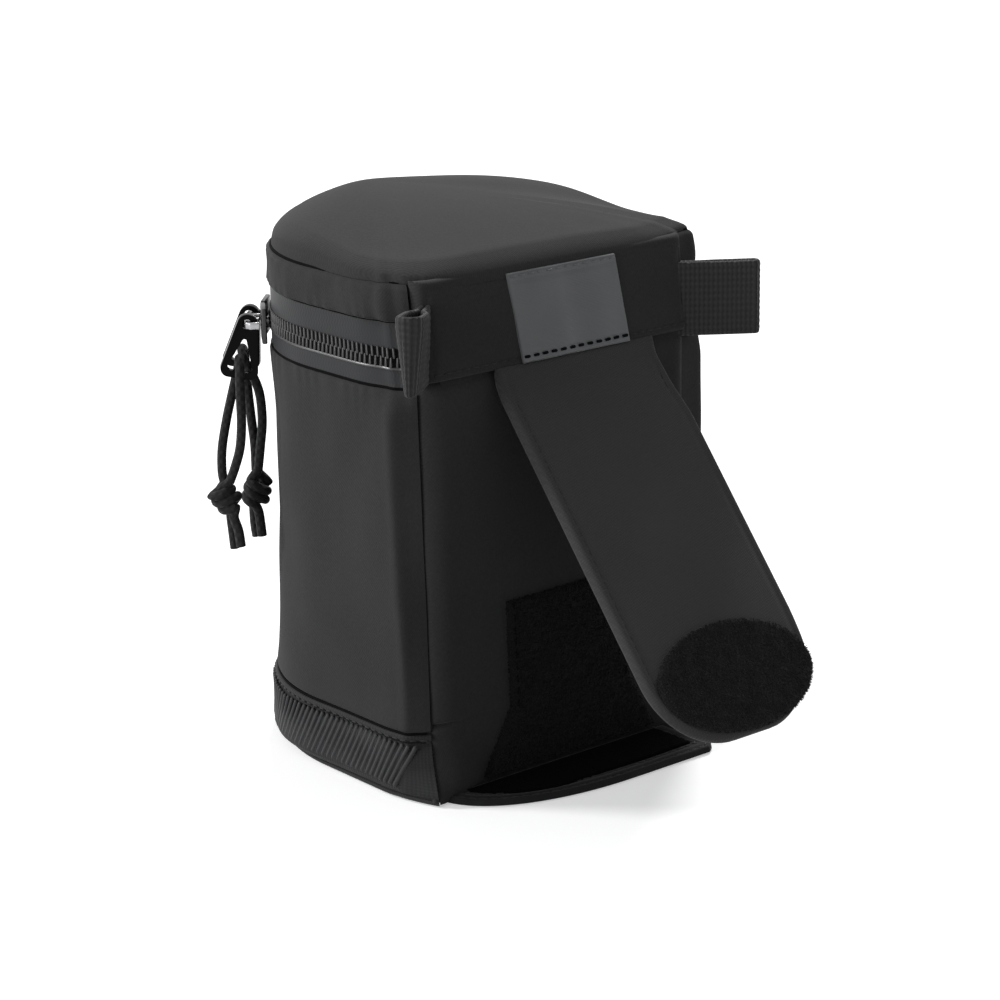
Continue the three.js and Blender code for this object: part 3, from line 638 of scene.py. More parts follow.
def grown(name, mesh, tree, material, sizes):
    """Runs a node tree on a mesh and keeps what it makes as a plain mesh."""
    obj = bpy.data.objects.new(name, mesh)
    scene.collection.objects.link(obj)
    modifier = obj.modifiers.new("grow", "NODES")
    modifier.node_group = tree
    for item in tree.interface.items_tree:
        if item.in_out == "INPUT" and item.name == "Finish":
            modifier[item.identifier] = material
        elif item.in_out == "INPUT" and item.name in sizes:
            modifier[item.identifier] = float(sizes[item.name])
    seen = obj.evaluated_get(bpy.context.evaluated_depsgraph_get())
    made = bpy.data.meshes.new_from_object(seen)
    made.name = name
    obj.modifiers.clear()
    obj.data = made
    bpy.data.meshes.remove(mesh)
    return obj


def lines_mesh(name, lines):
    points, edges = [], []
    for line in lines:
        first = len(points)
        points.extend(Vector(p * MM) for p in line)
        edges.extend((first + i, first + i + 1) for i in range(len(line) - 1))
    mesh = bpy.data.meshes.new(name)
    mesh.from_pydata(points, edges, [])
    return mesh


def capsules(name, lines, material, pitch, length, thickness, along=1, up=0, jitter=0.07):
    """Capsules along lines, each turned by so much along the line and so much upwards."""
    sizes = {"Pitch": pitch * MM, "Length": length * MM, "Thickness": thickness * MM}
    sizes.update(Along=along, Up=up, Jitter=jitter)
    return grown(name, lines_mesh(name + "_line", lines), CAPSULE_ROWS, material, sizes)


def band_swell(along, z):
    return 0.25 * ripple(along, z, 30, 8) * np.clip((17 - z) / 6, 0, 1) + flare(along, z)


band_section = rolled(1.0, 15.8, front=-0.1, back=1.2, roll=2.4, rows=12)
band = wall_piece("base_band_cloth", band_section, band_finish, band_swell)
fit(band, "pouch_body", "ribbed_cloth", "base_band")
fold_section = rolled(15.9, 17.4, front=-0.4, back=1.2, roll=0.7, rows=3)
edge = wall_piece("base_band_fold", fold_section, band_finish, flare)
fit(edge, "pouch_body", "cloth", "base_band_edge")


def wall_line(z, out, trim, swell=flat):
    """A line round the wall at one height, in front of its face."""
    rise = swell(plan_along[:, None], np.array([[z]]))
    line = on_wall(-out - rise, np.array([[z]]))[:, 0]
    keep = (plan_along > trim) & (plan_along < plan_along[-1] - trim)
    return line[keep]


def rib_cloth(places, across, along):
    worn = places.noise(140, 4)
    return {
        "Base Color": worn.between((0.011, 0.0112, 0.0122), (0.030, 0.0305, 0.033)),
        "Roughness": 0.75 - 0.25 * worn,
        "Normal": relief(places.noise(2400), 0.08, 0.6),
    }


rib_finish = finish("rib_cords", rib_cloth, Sheen_Weight=0.05, Specular_IOR_Level=0.3)
rib_line = wall_line(9.2, out=-0.12, trim=6.5, swell=band_swell)
slant = math.radians(RIB_SLANT)
ribs = capsules(
    "base_band_ribs", [rib_line], rib_finish, RIB_PITCH, RIB_LENGTH, RIB_WIDTH,
    along=-math.sin(slant), up=math.cos(slant), jitter=0.015,
)
fit(ribs, "pouch_body", "ribbed_cloth")


# Seam thread: dark bonded thread, lockstitched through the cloth so that each stitch
# sinks in at its ends. Rows are added with the pieces that they close.
def thread(places, across, along):
    worn = places.noise(900)
    return {
        "Base Color": worn.between((0.011, 0.011, 0.0115), (0.030, 0.030, 0.031)),
        "Roughness": 0.55 + 0.2 * worn,
        "Normal": relief(places.noise(5000), 0.05, 0.6),
    }


thread_finish = finish("seam_thread", thread, Sheen_Weight=0.05, Specular_IOR_Level=0.15)


def stitches(name, lines, body, pitch, length, thickness, material=thread_finish):
    """Rows of stitches along lines. Rows that bend with their piece have no body of their own."""
    row = capsules(name, lines, material, pitch, length, thickness)
    if body:
        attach(row, body)
    return row


# Painted seam shade: a near-black finish that stands for the shade in seams, in the gaps between zip teeth
# and in sunk stitch holes.
seam_shade_finish = finish("painted_seam_shade", lambda places, across, along: {
    "Base Color": places.noise(700).between((0.0015, 0.0015, 0.0016), (0.006, 0.006, 0.0065)),
}, Roughness=0.9, Specular_IOR_Level=0.05)


def seam_shade_line(name, body, z, out, swell=flat, width=0.8):
    """A dark rod of painted shade round the wall, in the seam where a turned edge meets what lies under it.
    """
    seam_shade_rod = rod(name, wall_line(z, out, 0.5, swell), width / 2, seam_shade_finish, sides=8)
    fit(seam_shade_rod, body, "cloth")


fold_line = wall_line(16.2, out=0.34, trim=1.5, swell=flare)
stitches("base_band_stitches", [fold_line], "pouch_body", pitch=2.6, length=1.7, thickness=0.5)
# A dark rod of painted shade along the seam between the band and the wall.
seam_shade_line("base_band_seam_shade", "pouch_body", z=WALL_FOOT, out=-0.45, swell=flare)


# Back panel: the same twill over foam, flat against the belt. It is sewn to the wall
# along both rear seams, where its edge is rolled over a filler cord.
BACK_HALF = 42.7
BACK_ROLL = 5
BACK_INSET = 0.7
PIPING_WIDTH = 1.8
PIPING_INSET = (0.35, 1.6)


def edge_distance(points, border):
    """How far each point lies from a closed border line."""
    a = border
    ab = np.roll(border, -1, axis=0) - a
    to = points[:, None, :] - a[None]
    share = np.clip((to * ab).sum(-1) / np.maximum((ab * ab).sum(-1), 1e-9), 0, 1)
    return np.linalg.norm(to - share[..., None] * ab, axis=-1).min(axis=1)


def spread(low, high, count, crowd=0.75):
    """Places from low to high, closer together towards both ends."""
    t = np.linspace(0, 1, count)
    return low + (high - low) * (crowd * (0.5 - 0.5 * np.cos(math.pi * t)) + (1 - crowd) * t)


def border_line(left, right, rows):
    """A border down the left side of a piece and back up its right side."""
    return np.vstack([np.column_stack([left, rows]), np.column_stack([right, rows])[::-1]])


def pad(name, rows, half_width, front, back, place, material, columns, middle=lambda b: 0.0):
    """A flat closed piece: rows along it, a half width for each row, and how far its front and
    back stand off as functions of (across, along, distance from the edge)."""
    across = spread(-1, 1, columns)
    half = np.array([half_width(b) for b in rows])
    centre = np.array([middle(b) for b in rows])
    u = centre[:, None] + half[:, None] * across[None, :]
    v = np.broadcast_to(np.asarray(rows)[:, None], u.shape)
    border = border_line(centre + half, centre - half, rows)
    gap = edge_distance(np.column_stack([u.ravel(), v.ravel()]), border).reshape(u.shape)
    gap[:, [0, -1]] = 0
    gap[[0, -1]] = 0
    uv = np.stack([u, v], axis=-1)
    surfaces = [(place(u, v, side(u, v, gap)), uv, False, False) for side in (front, back)]
    return piece(name, surfaces, material)


def roll_off(gap, radius):
    """From 0 at the edge to 1 one radius inside it, round like a folded edge."""
    return np.sqrt(1 - (1 - np.clip(gap / radius, 0, 1)) ** 2)


def rolled_face(level, rise, radius=1):
    """A pad's face: its level at the edge, and how far it rises within one radius of it."""
    return lambda x, v, gap: level + rise * roll_off(gap, radius)


def on_back(x, z, out):
    return np.stack([x, BACK_Y - lean(z) + out, z], axis=-1)


def back_left(z):
    return float(np.interp(z, CORNER_Z, CORNER_SEAM_X)) - BACK_INSET


def back_half(z):
    return (back_left(z) + RIGHT_SEAM_X - BACK_INSET) / 2


def back_middle(z):
    return (back_left(z) - RIGHT_SEAM_X + BACK_INSET) / 2


def back_front(x, z, gap):
    corner = np.clip(np.abs(x) / 43, 0, 1) ** 4
    edge = (np.interp(z, CORNER_Z, CORNER_SEAM_Y) - BACK_Y) * corner - 0.5
    hills = 0.35 * ripple(x, z, 42, 12) * np.clip(gap / 12, 0, 1)
    puff = 0.45 * hump(np.abs(x) - 38.5, 3.5) + hills
    tuck = 0.35 * ease((np.abs(x) - 22) / 10) + 1.0 * ease((np.abs(x) - 36) / 4)
    fold = tuck * hump(z - 19.2, 0.6)
    foot = 3.2 * ease((17 - z) / 14) * ease((np.abs(x) - 26) / 13)
    return edge + (puff + foot - edge) * roll_off(gap, BACK_ROLL) - fold - 0.15


back_rows = np.unique(np.concatenate([spread(0.5, 105.2, 72), np.linspace(17.4, 21, 14)]))
back = pad(
    "back_cloth", back_rows, back_half, back_front, rolled_face(-3.2, -3.6), on_back, cloth_finish,
    columns=72, middle=back_middle,
)
fit(back, "pouch_body", "cloth", "back_panel", "back_foam")

for side, sign in (("left", 1), ("right", -1)):
    heights = np.linspace(0.8, 102, 90)
    seam_x = np.interp(heights, CORNER_Z, CORNER_SEAM_X) if sign > 0 else np.full(90, RIGHT_SEAM_X)
    seam_y = np.interp(heights, CORNER_Z, CORNER_SEAM_Y)
    line = np.column_stack([sign * (seam_x - PIPING_INSET[0]), seam_y - PIPING_INSET[1], heights])
    piping = rod(f"rear_piping_{side}_roll", line, PIPING_WIDTH / 2, cloth_finish, sides=12)
    fit(piping, "pouch_body", "cloth", f"rear_piping_{side}")


# Loop panel: black loop pile on a stiff backing, sewn to the lower back. The hooks on the
# strap's inner face close on it.
LOOP_PANEL_LOW, LOOP_PANEL_TOP = 2.5, 46.6


def pile(places, across, along):
    curl = places.noise(1100, 5)
    return {
        "Base Color": curl.between((0.0009, 0.0009, 0.0010), (0.0054, 0.0054, 0.0060)),
        "Roughness": 0.9 + 0.1 * curl,
        "Normal": relief(curl, 0.5),
    }


pile_finish = finish("loop_pile", pile, Sheen_Weight=0.04, Specular_IOR_Level=0.15)


def tuft_field():
    """Short fibres scattered over a face, each at a stray angle."""
    tree, size = node_tree("tuft_field", ("Density", "Length", "Thickness"))
    points = size["Geometry"].node(
        "GeometryNodeDistributePointsOnFaces", {"distribute_method": "RANDOM"},
        {"Mesh": size["Geometry"], "Density": size["Density"], "Seed": 11},
    )
    normal = Socket(tree, points.socket.node.outputs["Normal"])
    heading = normal.scaled(0.7).plus(points.stray(5))
    ball = points.node("GeometryNodeMeshIcoSphere", None, {"Radius": 1.0, "Subdivisions": 1})
    girth = size["Thickness"] * 0.5
    shape = points.node("ShaderNodeCombineXYZ", None, {"X": girth, "Y": girth, "Z": size["Length"] * 0.5})
    plant(tree, points, ball, heading, size["Finish"], Scale=shape)
    return tree


TUFT_FIELD = tuft_field()


def tufts(name, ground, keep, material, body, density, length, thickness):
    """Fibres on the faces of a pad that keep picks by their normal."""
    made = bmesh.new()
    made.from_mesh(ground.data)
    drop = [face for face in made.faces if not keep(face.normal)]
    bmesh.ops.delete(made, geom=drop, context="FACES")
    mesh = bpy.data.meshes.new(name + "_ground")
    made.to_mesh(mesh)
    made.free()
    sizes = {"Density": density * 1e6, "Length": length * MM, "Thickness": thickness * MM}
    field = grown(name, mesh, TUFT_FIELD, material, sizes)
    fit(field, body, "pile")


def loop_half(z):
    return 19.5 + 0.045 * max(0.0, z - 20) + 0.55 * max(0.0, 19 - z)


def loop_front(x, z, gap):
    return 0.3 + 1.3 * roll_off(gap, 1.1) + 0.15 * ripple(x, z, 9, 13)


loops = pad(
    "loop_panel_pile", spread(LOOP_PANEL_LOW, LOOP_PANEL_TOP, 40), loop_half, loop_front,
    rolled_face(0.3, -0.8), on_back, pile_finish, columns=40,
)
fit(loops, "pouch_body", "pile", "loop_panel")
tufts(
    "loop_panel_fibres", loops, lambda n: n.y > 0.3, pile_finish, "pouch_body",
    density=2.2, length=1.05, thickness=0.33,
)
loop_edges = []
for sign in (1, -1):
    z = np.linspace(20, LOOP_PANEL_TOP - 1, 40)
    x = sign * (np.array([loop_half(v) for v in z]) - 1.4)
    loop_edges.append(on_back(x, z, np.full(40, 1.75)))
# The panel's stitches take the same near-black finish as the painted seam shade.
stitches(
    "loop_panel_stitches", loop_edges, "pouch_body", pitch=3.0, length=2.0, thickness=0.5,
    material=seam_shade_finish,
)


# Lining: smooth grey knit that faces the foam inside, on the wall, the back and the floor.
# A rolled binding closes its edge round the mouth.
LINING_LOW, LINING_HIGH = 8.1, 100.2


def knit(places, across, along):
    rib = (across * 0.9).wave() * 0.6 + (along * 1.2).wave() * 0.4
    soft = places.noise(40, 3)
    return {
        "Base Color": (rib * 0.4 + soft * 0.6).between((0.050, 0.050, 0.055), (0.115, 0.115, 0.125)),
        "Roughness": 0.8 + 0.15 * rib,
        "Normal": relief(rib, 0.1, 0.6),
    }


lining_finish = finish("grey_lining", knit, Sheen_Weight=0.25, Specular_IOR_Level=0.25)


def lining_swell(along, z):
    return 0.25 * ripple(along, z, 38, 21)


lining_section = rolled(LINING_LOW, LINING_HIGH, front=7.1, back=8.0, roll=0.4, rows=30)
lining = wall_piece("wall_lining_cloth", lining_section, lining_finish, lining_swell)
fit(lining, "pouch_body", "lining", "wall_lining")
mouth_section = rolled(99.6, 103.6, front=2.6, back=8.4, roll=1.6, rows=6)
mouth = wall_piece("mouth_binding_cloth", mouth_section, lining_finish)
fit(mouth, "pouch_body", "lining", "mouth_binding")
back_lining = pad(
    "back_lining_cloth", spread(LINING_LOW, LINING_HIGH, 30), lambda z: BACK_HALF, rolled_face(-7.1, 0),
    rolled_face(-7.1, -0.9, 1.2), on_back, lining_finish, columns=24,
)
fit(back_lining, "pouch_body", "lining", "back_lining")
back_mouth = pad(
    "back_mouth_binding_cloth", spread(99.8, 103.4, 12), lambda z: BACK_HALF,
    rolled_face(-5, 1.6, 1.5), rolled_face(-5, -3.3, 1.5),
    on_back, lining_finish, columns=30,
)
fit(back_mouth, "pouch_body", "lining", "back_mouth_binding")
floor_edge = [(10, 7), (7.4, 7), (7.2, 7.4), (7.4, 7.8), (10, 7.8)]
floor_lining = disc("floor_lining_cloth", floor_edge, lining_finish)
fit(floor_lining, "pouch_body", "lining", "base_lining")


# Zip: two woven tapes, each with a nylon coil along its edge. The lower tape is sewn into
# the wall's top edge, the upper one into the lid's gusset.
COIL_PITCH = 1.6
COIL_MIDDLE = 110.8
TOOTH_LENGTH = 2.7
TOOTH_WIDTH = 0.8
BEAD_WIDTH = 0.76
TAPE_LOW, TAPE_HIGH = 100.4, 121.2


def tape(places, across, along):
    chevron = (across * 0.9 + (along * 0.5).wave() * 0.5).wave()
    shine = places.noise(90)
    tone = chevron * 0.06 + shine * 0.9
    return {
        "Base Color": tone.between((0.0118, 0.0122, 0.0132), (0.0235, 0.0245, 0.0266)),
        "Roughness": 0.62 - 0.15 * chevron,
        "Normal": relief(shine, 0.05, 0.7),
    }


tape_finish = finish("zip_tape", tape, Sheen_Weight=0.04, Specular_IOR_Level=0.2)


def nylon(places, across, along):
    scuff = places.noise(500)
    return {
        "Base Color": scuff.between((0.014, 0.014, 0.015), (0.040, 0.040, 0.043)),
        "Roughness": 0.26 + 0.16 * scuff,
        "Normal": relief(scuff, 0.04, 0.4),
    }


coil_finish = finish("nylon_coil", nylon, Specular_IOR_Level=0.5)
for half, body, low, high, sign in (
    ("lower", "pouch_body", TAPE_LOW, COIL_MIDDLE - 0.2, -1),
    ("upper", "lid", COIL_MIDDLE + 0.2, TAPE_HIGH, 1),
):
    tape_section = rolled(low, high, front=0.85, back=2.3, roll=0.3, rows=8)
    band_tape = wall_piece(f"zip_tape_{half}_cloth", tape_section, tape_finish)
    fit(band_tape, body, "webbing", f"zip_tape_{half}")
    half_pitch = COIL_PITCH / 2 if sign < 0 else 0
    teeth_line = wall_line(COIL_MIDDLE + sign * 1.1, out=-0.7, trim=2.0 + half_pitch)
    teeth = capsules(
        f"zip_coil_{half}_teeth", [teeth_line], coil_finish, COIL_PITCH, TOOTH_LENGTH, TOOTH_WIDTH,
        along=0.06 * sign, up=1, jitter=0.02,
    )
    fit(teeth, body, "coil", f"zip_coil_{half}")
    # A strip for the coil's core behind the teeth, in painted shade, so that the gaps between the teeth show
    # dark.
    low, high = sorted((COIL_MIDDLE + 0.1 * sign, COIL_MIDDLE + 2.2 * sign))
    core_section = rolled(low, high, front=0.7, back=1.4, roll=0.2, rows=4)
    core = wall_piece(f"zip_core_shade_{half}", core_section, seam_shade_finish)
    fit(core, body, "coil")
bead_line = wall_line(COIL_MIDDLE - 2.6, out=-0.75, trim=0.5)
bead = rod("zip_bead", bead_line, BEAD_WIDTH / 2, coil_finish, sides=8)
fit(bead, "pouch_body", "coil")
# Dark rods of painted shade along the seams below and above the zip.
seam_shade_line("zip_seam_lower_shade", "pouch_body", z=103.45, out=-0.95)
seam_shade_line("zip_seam_upper_shade", "lid", z=119.4, out=-0.95, width=0.6)


# Lid: a padded twill gusset under a crowned, padded top panel. Both edges are turned in
# at the seam between them, and the top panel's rear edge lies on the back band.
GUSSET_LOW = 119.5
CROWN_FOOT, CROWN_TOP = 128.6, 140.7
CROWN_PEAK = (9, -22)


def gusset_swell(along, z):
    hills = 0.5 * ripple(along, z, 30, 31) + 0.2 * ripple(along, z, 12, 32)
    middle = np.sin(math.pi * np.clip((z - 117.5) / 11.8, 0, 1))
    pull = 0.14 * np.sin(along * 1.1) * np.exp(-(LID_SEAM - z) / 3)
    pucker = 0.28 * gathers(along, 1.15, 0.37) * np.exp(-np.maximum(z - GUSSET_LOW, 0) / 1.8)
    return 0.35 * middle + hills * middle + pull + pucker


def gusset_profile():
    """Like rolled(), with a tight lower edge and a top that rolls far in to the lid's seam."""
    low = np.radians(np.linspace(0, 90, 6))
    high = np.radians(np.linspace(0, 90, 9))
    lower = np.stack([0.9 * (1 - np.sin(low)), GUSSET_LOW + 0.9 * (1 - np.cos(low))], axis=1)
    face = np.stack([np.zeros(18), np.linspace(120.6, 126.8, 18)], axis=1)
    upper = np.stack([1.6 * (1 - np.cos(high)), 127.1 + 1.5 * np.sin(high)], axis=1)
    return np.vstack([lower, face, upper, [(4.6, 128.5), (4.6, 124), (4.6, 119.8), (1.6, GUSSET_LOW)]])


gusset = wall_piece("lid_gusset_cloth", gusset_profile(), cloth_finish, gusset_swell)
fit(gusset, "lid", "cloth", "lid_gusset", "lid_gusset_foam")
# A dark rod of painted shade along the seam between gusset and top panel.
seam_shade_line("lid_seam_shade", "lid", z=128.65, out=-1.55, width=1.1)
lining_section = rolled(114.4, 129.2, front=4.6, back=5.6, roll=0.4, rows=8)
gusset_lining = wall_piece("lid_gusset_lining_cloth", lining_section, lining_finish)
fit(gusset_lining, "lid", "lining", "lid_gusset_lining")
lining_edge = [(15, 129.6), (6.9, 129.5), (6, 129.7), (6, 130.1), (6.9, 130.3), (15, 130.3)]
lid_lining = disc("lid_lining_cloth", lining_edge, lining_finish)
fit(lid_lining, "lid", "lining", "lid_lining")


def soften(values, passes):
    """Values along a closed ring, smoothed."""
    for _ in range(passes):
        values = (np.roll(values, 1, axis=-1) + 2 * values + np.roll(values, -1, axis=-1)) / 4
    return values


def crown_rows():
    """Rings of the top panel: in from the seam, up a round shoulder, then over a dome that is
    highest towards the front. Its rear rolls over the band's top edge and is sewn down on it."""
    x, y = outline.T
    rear = soften(ease((y + 10) / (CREASE[1] + 10)), 60)
    middle = soften(rear * ease((40 - np.abs(x - 1.6)) / 7), 12)
    seam = outline_at(LID_SEAM)
    slump = soften(2.2 * hump(y - 25, 23) * (x < -20), 40)
    start = 1.8 - 0.9 * rear - 2.9 * middle
    run = 7.6 - 1.1 * rear
    rise = 8.1 - 4.2 * rear + 1.8 * middle - slump
    foot = CROWN_FOOT - 1.6 * middle
    reach = np.linalg.norm(seam - CROWN_PEAK, axis=1)
    steps = [(4.0, foot + 1.1), (1.4, foot + 0.6), (0.3, foot + 0.1)]
    for turn in np.radians(np.linspace(0, 84, 14)):
        steps.append((run * (1 - math.cos(turn)), foot + rise * math.sin(turn)))
    rows = []
    for inset, z in steps:
        share = 1 - (start + inset) / reach
        rows.append(np.column_stack([CROWN_PEAK + (seam - CROWN_PEAK) * share[:, None], z]))
    rim = rows[-1]
    round_rim = soften(rim[:, :2].T, 500).T
    for share in np.linspace(1, 0.02, 36)[1:]:
        ring = round_rim + (rim[:, :2] - round_rim) * ease((share - 0.35) / 0.65)
        flat_ring = CROWN_PEAK + (ring - CROWN_PEAK) * share
        rows.append(np.column_stack([flat_ring, CROWN_TOP + (rim[:, 2] - CROWN_TOP) * share**2]))
    rows = np.array(rows)
    dome = rows[:, :, 2]
    for _ in range(36):
        dome[8:-1] = (dome[7:-2] + 2 * dome[8:-1] + dome[9:]) / 4
        dome[8:] = soften(dome[8:], 1)
    px, py, pz = np.moveaxis(rows, -1, 0)
    dome += ease((pz - 131) / 4) * (0.3 * ripple(px, py, 60, 41))
    return rows


crown = stacked("lid_top_cloth", crown_rows(), cloth_finish)
fit(crown, "lid", "cloth", "lid_top_panel", "lid_foam")


# Back band: twill over thin foam, closing the lid's back. It carries the label, and two rows
# of stitching hold it along its upper and lower edge.
BAND_LEFT, BAND_RIGHT = 44.2, -40.8


def band_end(x):
    """From 0 at the band's ends to 1 where they have rolled out from the rear seams."""
    return roll_off(np.minimum(BAND_LEFT - x, x - BAND_RIGHT), 4.5)


def band_front(x, z, gap):
    sewn = 0.35 * hump(gap - 2.0, 0.7) * band_end(x)
    hills = 0.22 * ripple(x, z, 30, 51) * np.clip(gap / 5, 0, 1)
    return 0.1 - 2.4 * (1 - band_end(x)) + 1.6 * roll_off(gap, 1.6) - sewn + hills


def band_rear(x, z, gap):
    return 0.1 - 2.4 * (1 - band_end(x)) - 3.0 * roll_off(gap, 1)


band_rows = spread(105.4, 129.6, 34, 0.6)
back_band = pad(
    "back_band_cloth", band_rows, lambda z: (BAND_LEFT - BAND_RIGHT) / 2, band_front, band_rear, on_back,
    cloth_finish, columns=80, middle=lambda z: (BAND_LEFT + BAND_RIGHT) / 2,
)
fit(back_band, "lid", "cloth", "back_band", "back_band_foam")
band_lines = []
for z in (107.4, 126.6):
    x = np.linspace(-38, 41, 80)
    out = band_front(x, np.full(80, z), np.full(80, 2.0))
    band_lines.append(on_back(x, np.full(80, z), out + 0.04))
stitches("back_band_stitches", band_lines, "lid", pitch=2.8, length=2.1, thickness=0.42)
band_lining = pad(
    "back_band_lining_cloth", spread(105.3, 129.2, 14), lambda z: BACK_HALF, rolled_face(-3.2, 0),
    rolled_face(-3.2, -0.9), on_back, lining_finish, columns=24,
)
fit(band_lining, "lid", "lining", "back_band_lining")


# Label: a bare piece of grey satin, its upper and lower edge folded under and sewn
# through the band.
LABEL_SIZE = (35, 22.2)
LABEL_X = -0.7
LABEL_SKEW = 0.13
LABEL_LOW = 105.9


def satin(places, across, along):
    weft = (along * 2.6).wave()
    drift = (across * 0.06 + 0.15 * places.noise(30)).wave()
    tone = weft * 0.2 + drift * 0.5 + places.noise(35) * 0.3
    return {
        "Base Color": tone.between((0.045, 0.0475, 0.050), (0.080, 0.084, 0.089)),
        "Roughness": 0.42 + 0.12 * weft,
        "Normal": relief(weft, 0.05, 0.5),
    }


label_finish = finish("label_satin", satin, Sheen_Weight=0.1, Specular_IOR_Level=0.5)


def label_front(x, v, gap):
    fold = 0.25 * hump(x - 3, 2.2) + 0.16 * ripple(x, v, 13, 61)
    low = np.minimum(v, LABEL_SIZE[1] - v)
    sewn = 0.3 * hump(low - 1.9, 0.5)
    return 1.75 + 0.55 * roll_off(gap, 0.5) + (fold - sewn) * np.clip(gap / 2.5, 0, 1)


def on_label(x, v, out):
    return on_back(x + LABEL_X + LABEL_SKEW * (v - LABEL_SIZE[1] / 2), v + LABEL_LOW, out)


label = pad(
    "label_satin", spread(0, LABEL_SIZE[1], 40), lambda v: LABEL_SIZE[0] / 2, label_front,
    rolled_face(1.75, -0.4), on_label, label_finish, columns=50,
)
fit(label, "lid", "label", "label")
x = np.linspace(-16, 16, 40)
# The foot row is drawn in painted shade: its dark dashes stand for the shade in the stitch holes.
for name, v, width, material in (
    ("label_top_stitches", LABEL_SIZE[1] - 0.9, 0.45, label_finish),
    ("label_foot_stitch_shade", 1.7, 0.8, seam_shade_finish),
):
    level = np.full(40, v)
    line = on_label(x, level, label_front(x, level, np.full(40, 0.9)) + 0.02)
    stitches(name, [line], "lid", pitch=2.7, length=1.8, thickness=width, material=material)


# Webbing loops: a strip of ribbed webbing at each rear corner, folded on itself with its
# ends sewn into the seam, so that an open loop stands out.
WEBBING_WIDTH = 19
WEBBING = 1.3
WEBBING_STEP = 0.42
LOOP_REACH = {1: 15.6, -1: 18.4}
LOOP_BORE = {1: 3.9, -1: 1.2}
LOOP_ROOT = {1: (45.0, 44.6, 105.2), -1: (40.6, 44.2, 103.7)}
LOOP_ANGLE = 38
LOOP_LIFT = {1: 1.2, -1: 0.2}


def webbing(places, across, along):
    weft = (across * 0.85).wave()
    warp = (along * 0.62).wave()
    worn = places.noise(120)
    tone = weft * 0.35 + warp * 0.25 + worn * 0.45
    return {
        "Base Color": tone.between((0.006, 0.006, 0.006), (0.026, 0.0262, 0.026)),
        "Roughness": 0.7 - 0.15 * weft,
        "Normal": relief(weft * 0.6 + warp * 0.4, 0.25),
    }


webbing_finish = finish("ribbed_webbing", webbing, Sheen_Weight=0.05, Specular_IOR_Level=0.2)


def loop_line(sign):
    """The middle of the webbing in plan: out along one ply, round the fold and back."""
    half = (LOOP_BORE[sign] + WEBBING) / 2
    bend = LOOP_REACH[sign] - half - WEBBING / 2
    fold = arc((bend, 0), half, -90, 90, 14)
    ply = [(-3, -0.7), (2.4, -0.9), (5.6, -half * 0.9), (8.2, -half)]
    return smooth_line([*ply, *fold, *((x, -y) for x, y in ply[::-1])], WEBBING_STEP)


def webbing_rows(sign):
    line = loop_line(sign)
    out = -left_of(line)
    along = np.arange(len(line)) * WEBBING_STEP
    z = spread(0, WEBBING_WIDTH, 50, 0.3)
    gap = np.minimum(z, WEBBING_WIDTH - z)
    thick = WEBBING / 2 * (0.35 + 0.65 * roll_off(gap, 0.7))
    turn = math.radians(LOOP_ANGLE)
    rib = 0.09 * np.cos(along[:, None] * 2 * math.pi * 0.85)
    rib = rib + 0.05 * np.cos(z[None, :] * 2 * math.pi * 0.62)
    pinch = 0.3 + 0.7 * np.clip(z[None, :] / 16, 0, 1)
    surfaces = []
    for face in (1, -1):
        off = face * (thick[None, :] + rib * (gap > 0.4))
        flat_x = line[:, :1] + out[:, :1] * off
        flat_y = line[:, 1:] * pinch + out[:, 1:] * off
        x = LOOP_ROOT[sign][0] + flat_x * math.cos(turn) - flat_y * math.sin(turn)
        y = LOOP_ROOT[sign][1] + flat_x * math.sin(turn) + flat_y * math.cos(turn)
        lift = LOOP_LIFT[sign] * np.clip(flat_x / LOOP_REACH[sign], 0, 1) ** 1.3
        high = LOOP_ROOT[sign][2] + z[None, :] + lift
        surfaces.append(np.stack([sign * x, y, high + 0 * x], axis=-1))
    ring = np.concatenate([surfaces[0], surfaces[1][:, ::-1]], axis=1)
    return ring, chart(along, np.concatenate([z, WEBBING_WIDTH + z, [2 * WEBBING_WIDTH]]))


for side, sign in (("left", 1), ("right", -1)):
    strip = piece(f"webbing_loop_{side}_strip", [(*webbing_rows(sign), True, True)], webbing_finish)
    fit(strip, "lid", "webbing", f"webbing_loop_{side}")


# Hinge cloth: a single layer of twill behind the band's lower edge that joins lid and back.
# It bends as the lid opens.
HINGE_LOW, HINGE_HIGH, HINGE_HALF = 98, 112, 39
hinge = pad(
    "hinge_cloth", np.linspace(HINGE_LOW, HINGE_HIGH, 30), lambda z: HINGE_HALF, rolled_face(-1.0, 0.4, 0.6),
    rolled_face(-1.0, -0.4, 0.6), on_back, cloth_finish, columns=30,
)
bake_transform(hinge)


# Belt strap: smooth cloth over thin foam with a bound edge, sewn under the back band and
# bent outwards. An oval of loop pile is sewn on its tip, hook pile on its inner face.
STRAP_LENGTH = 95.2
STRAP_HALF = 25.75
STRAP_TIP = 19
STRAP_ANGLE = 39
STRAP_AXIS = (47.05, 97.0)
STRAP_X = -1.8
STRAP_DRIFT = -0.3
STRAP_ROOT = -8.4
OVAL = (24.3, 13.7)
OVAL_AT = (-0.9, 80.7)
HOOK = (36, 30)
HOOK_INSET = 6


def strap_half(b):
    past = max(0.0, b - (STRAP_LENGTH - STRAP_TIP))
    return STRAP_HALF - STRAP_TIP + math.sqrt(max(0.0, STRAP_TIP**2 - past**2))


def strap_flare(b):
    """Half of how far one edge of the strap bows out."""
    bow = 0.8 * ease((b - 2) / 14) * ease((STRAP_LENGTH - 6 - b) / 22)
    return float(bow - 1.1 * ease((b - 78) / 14))


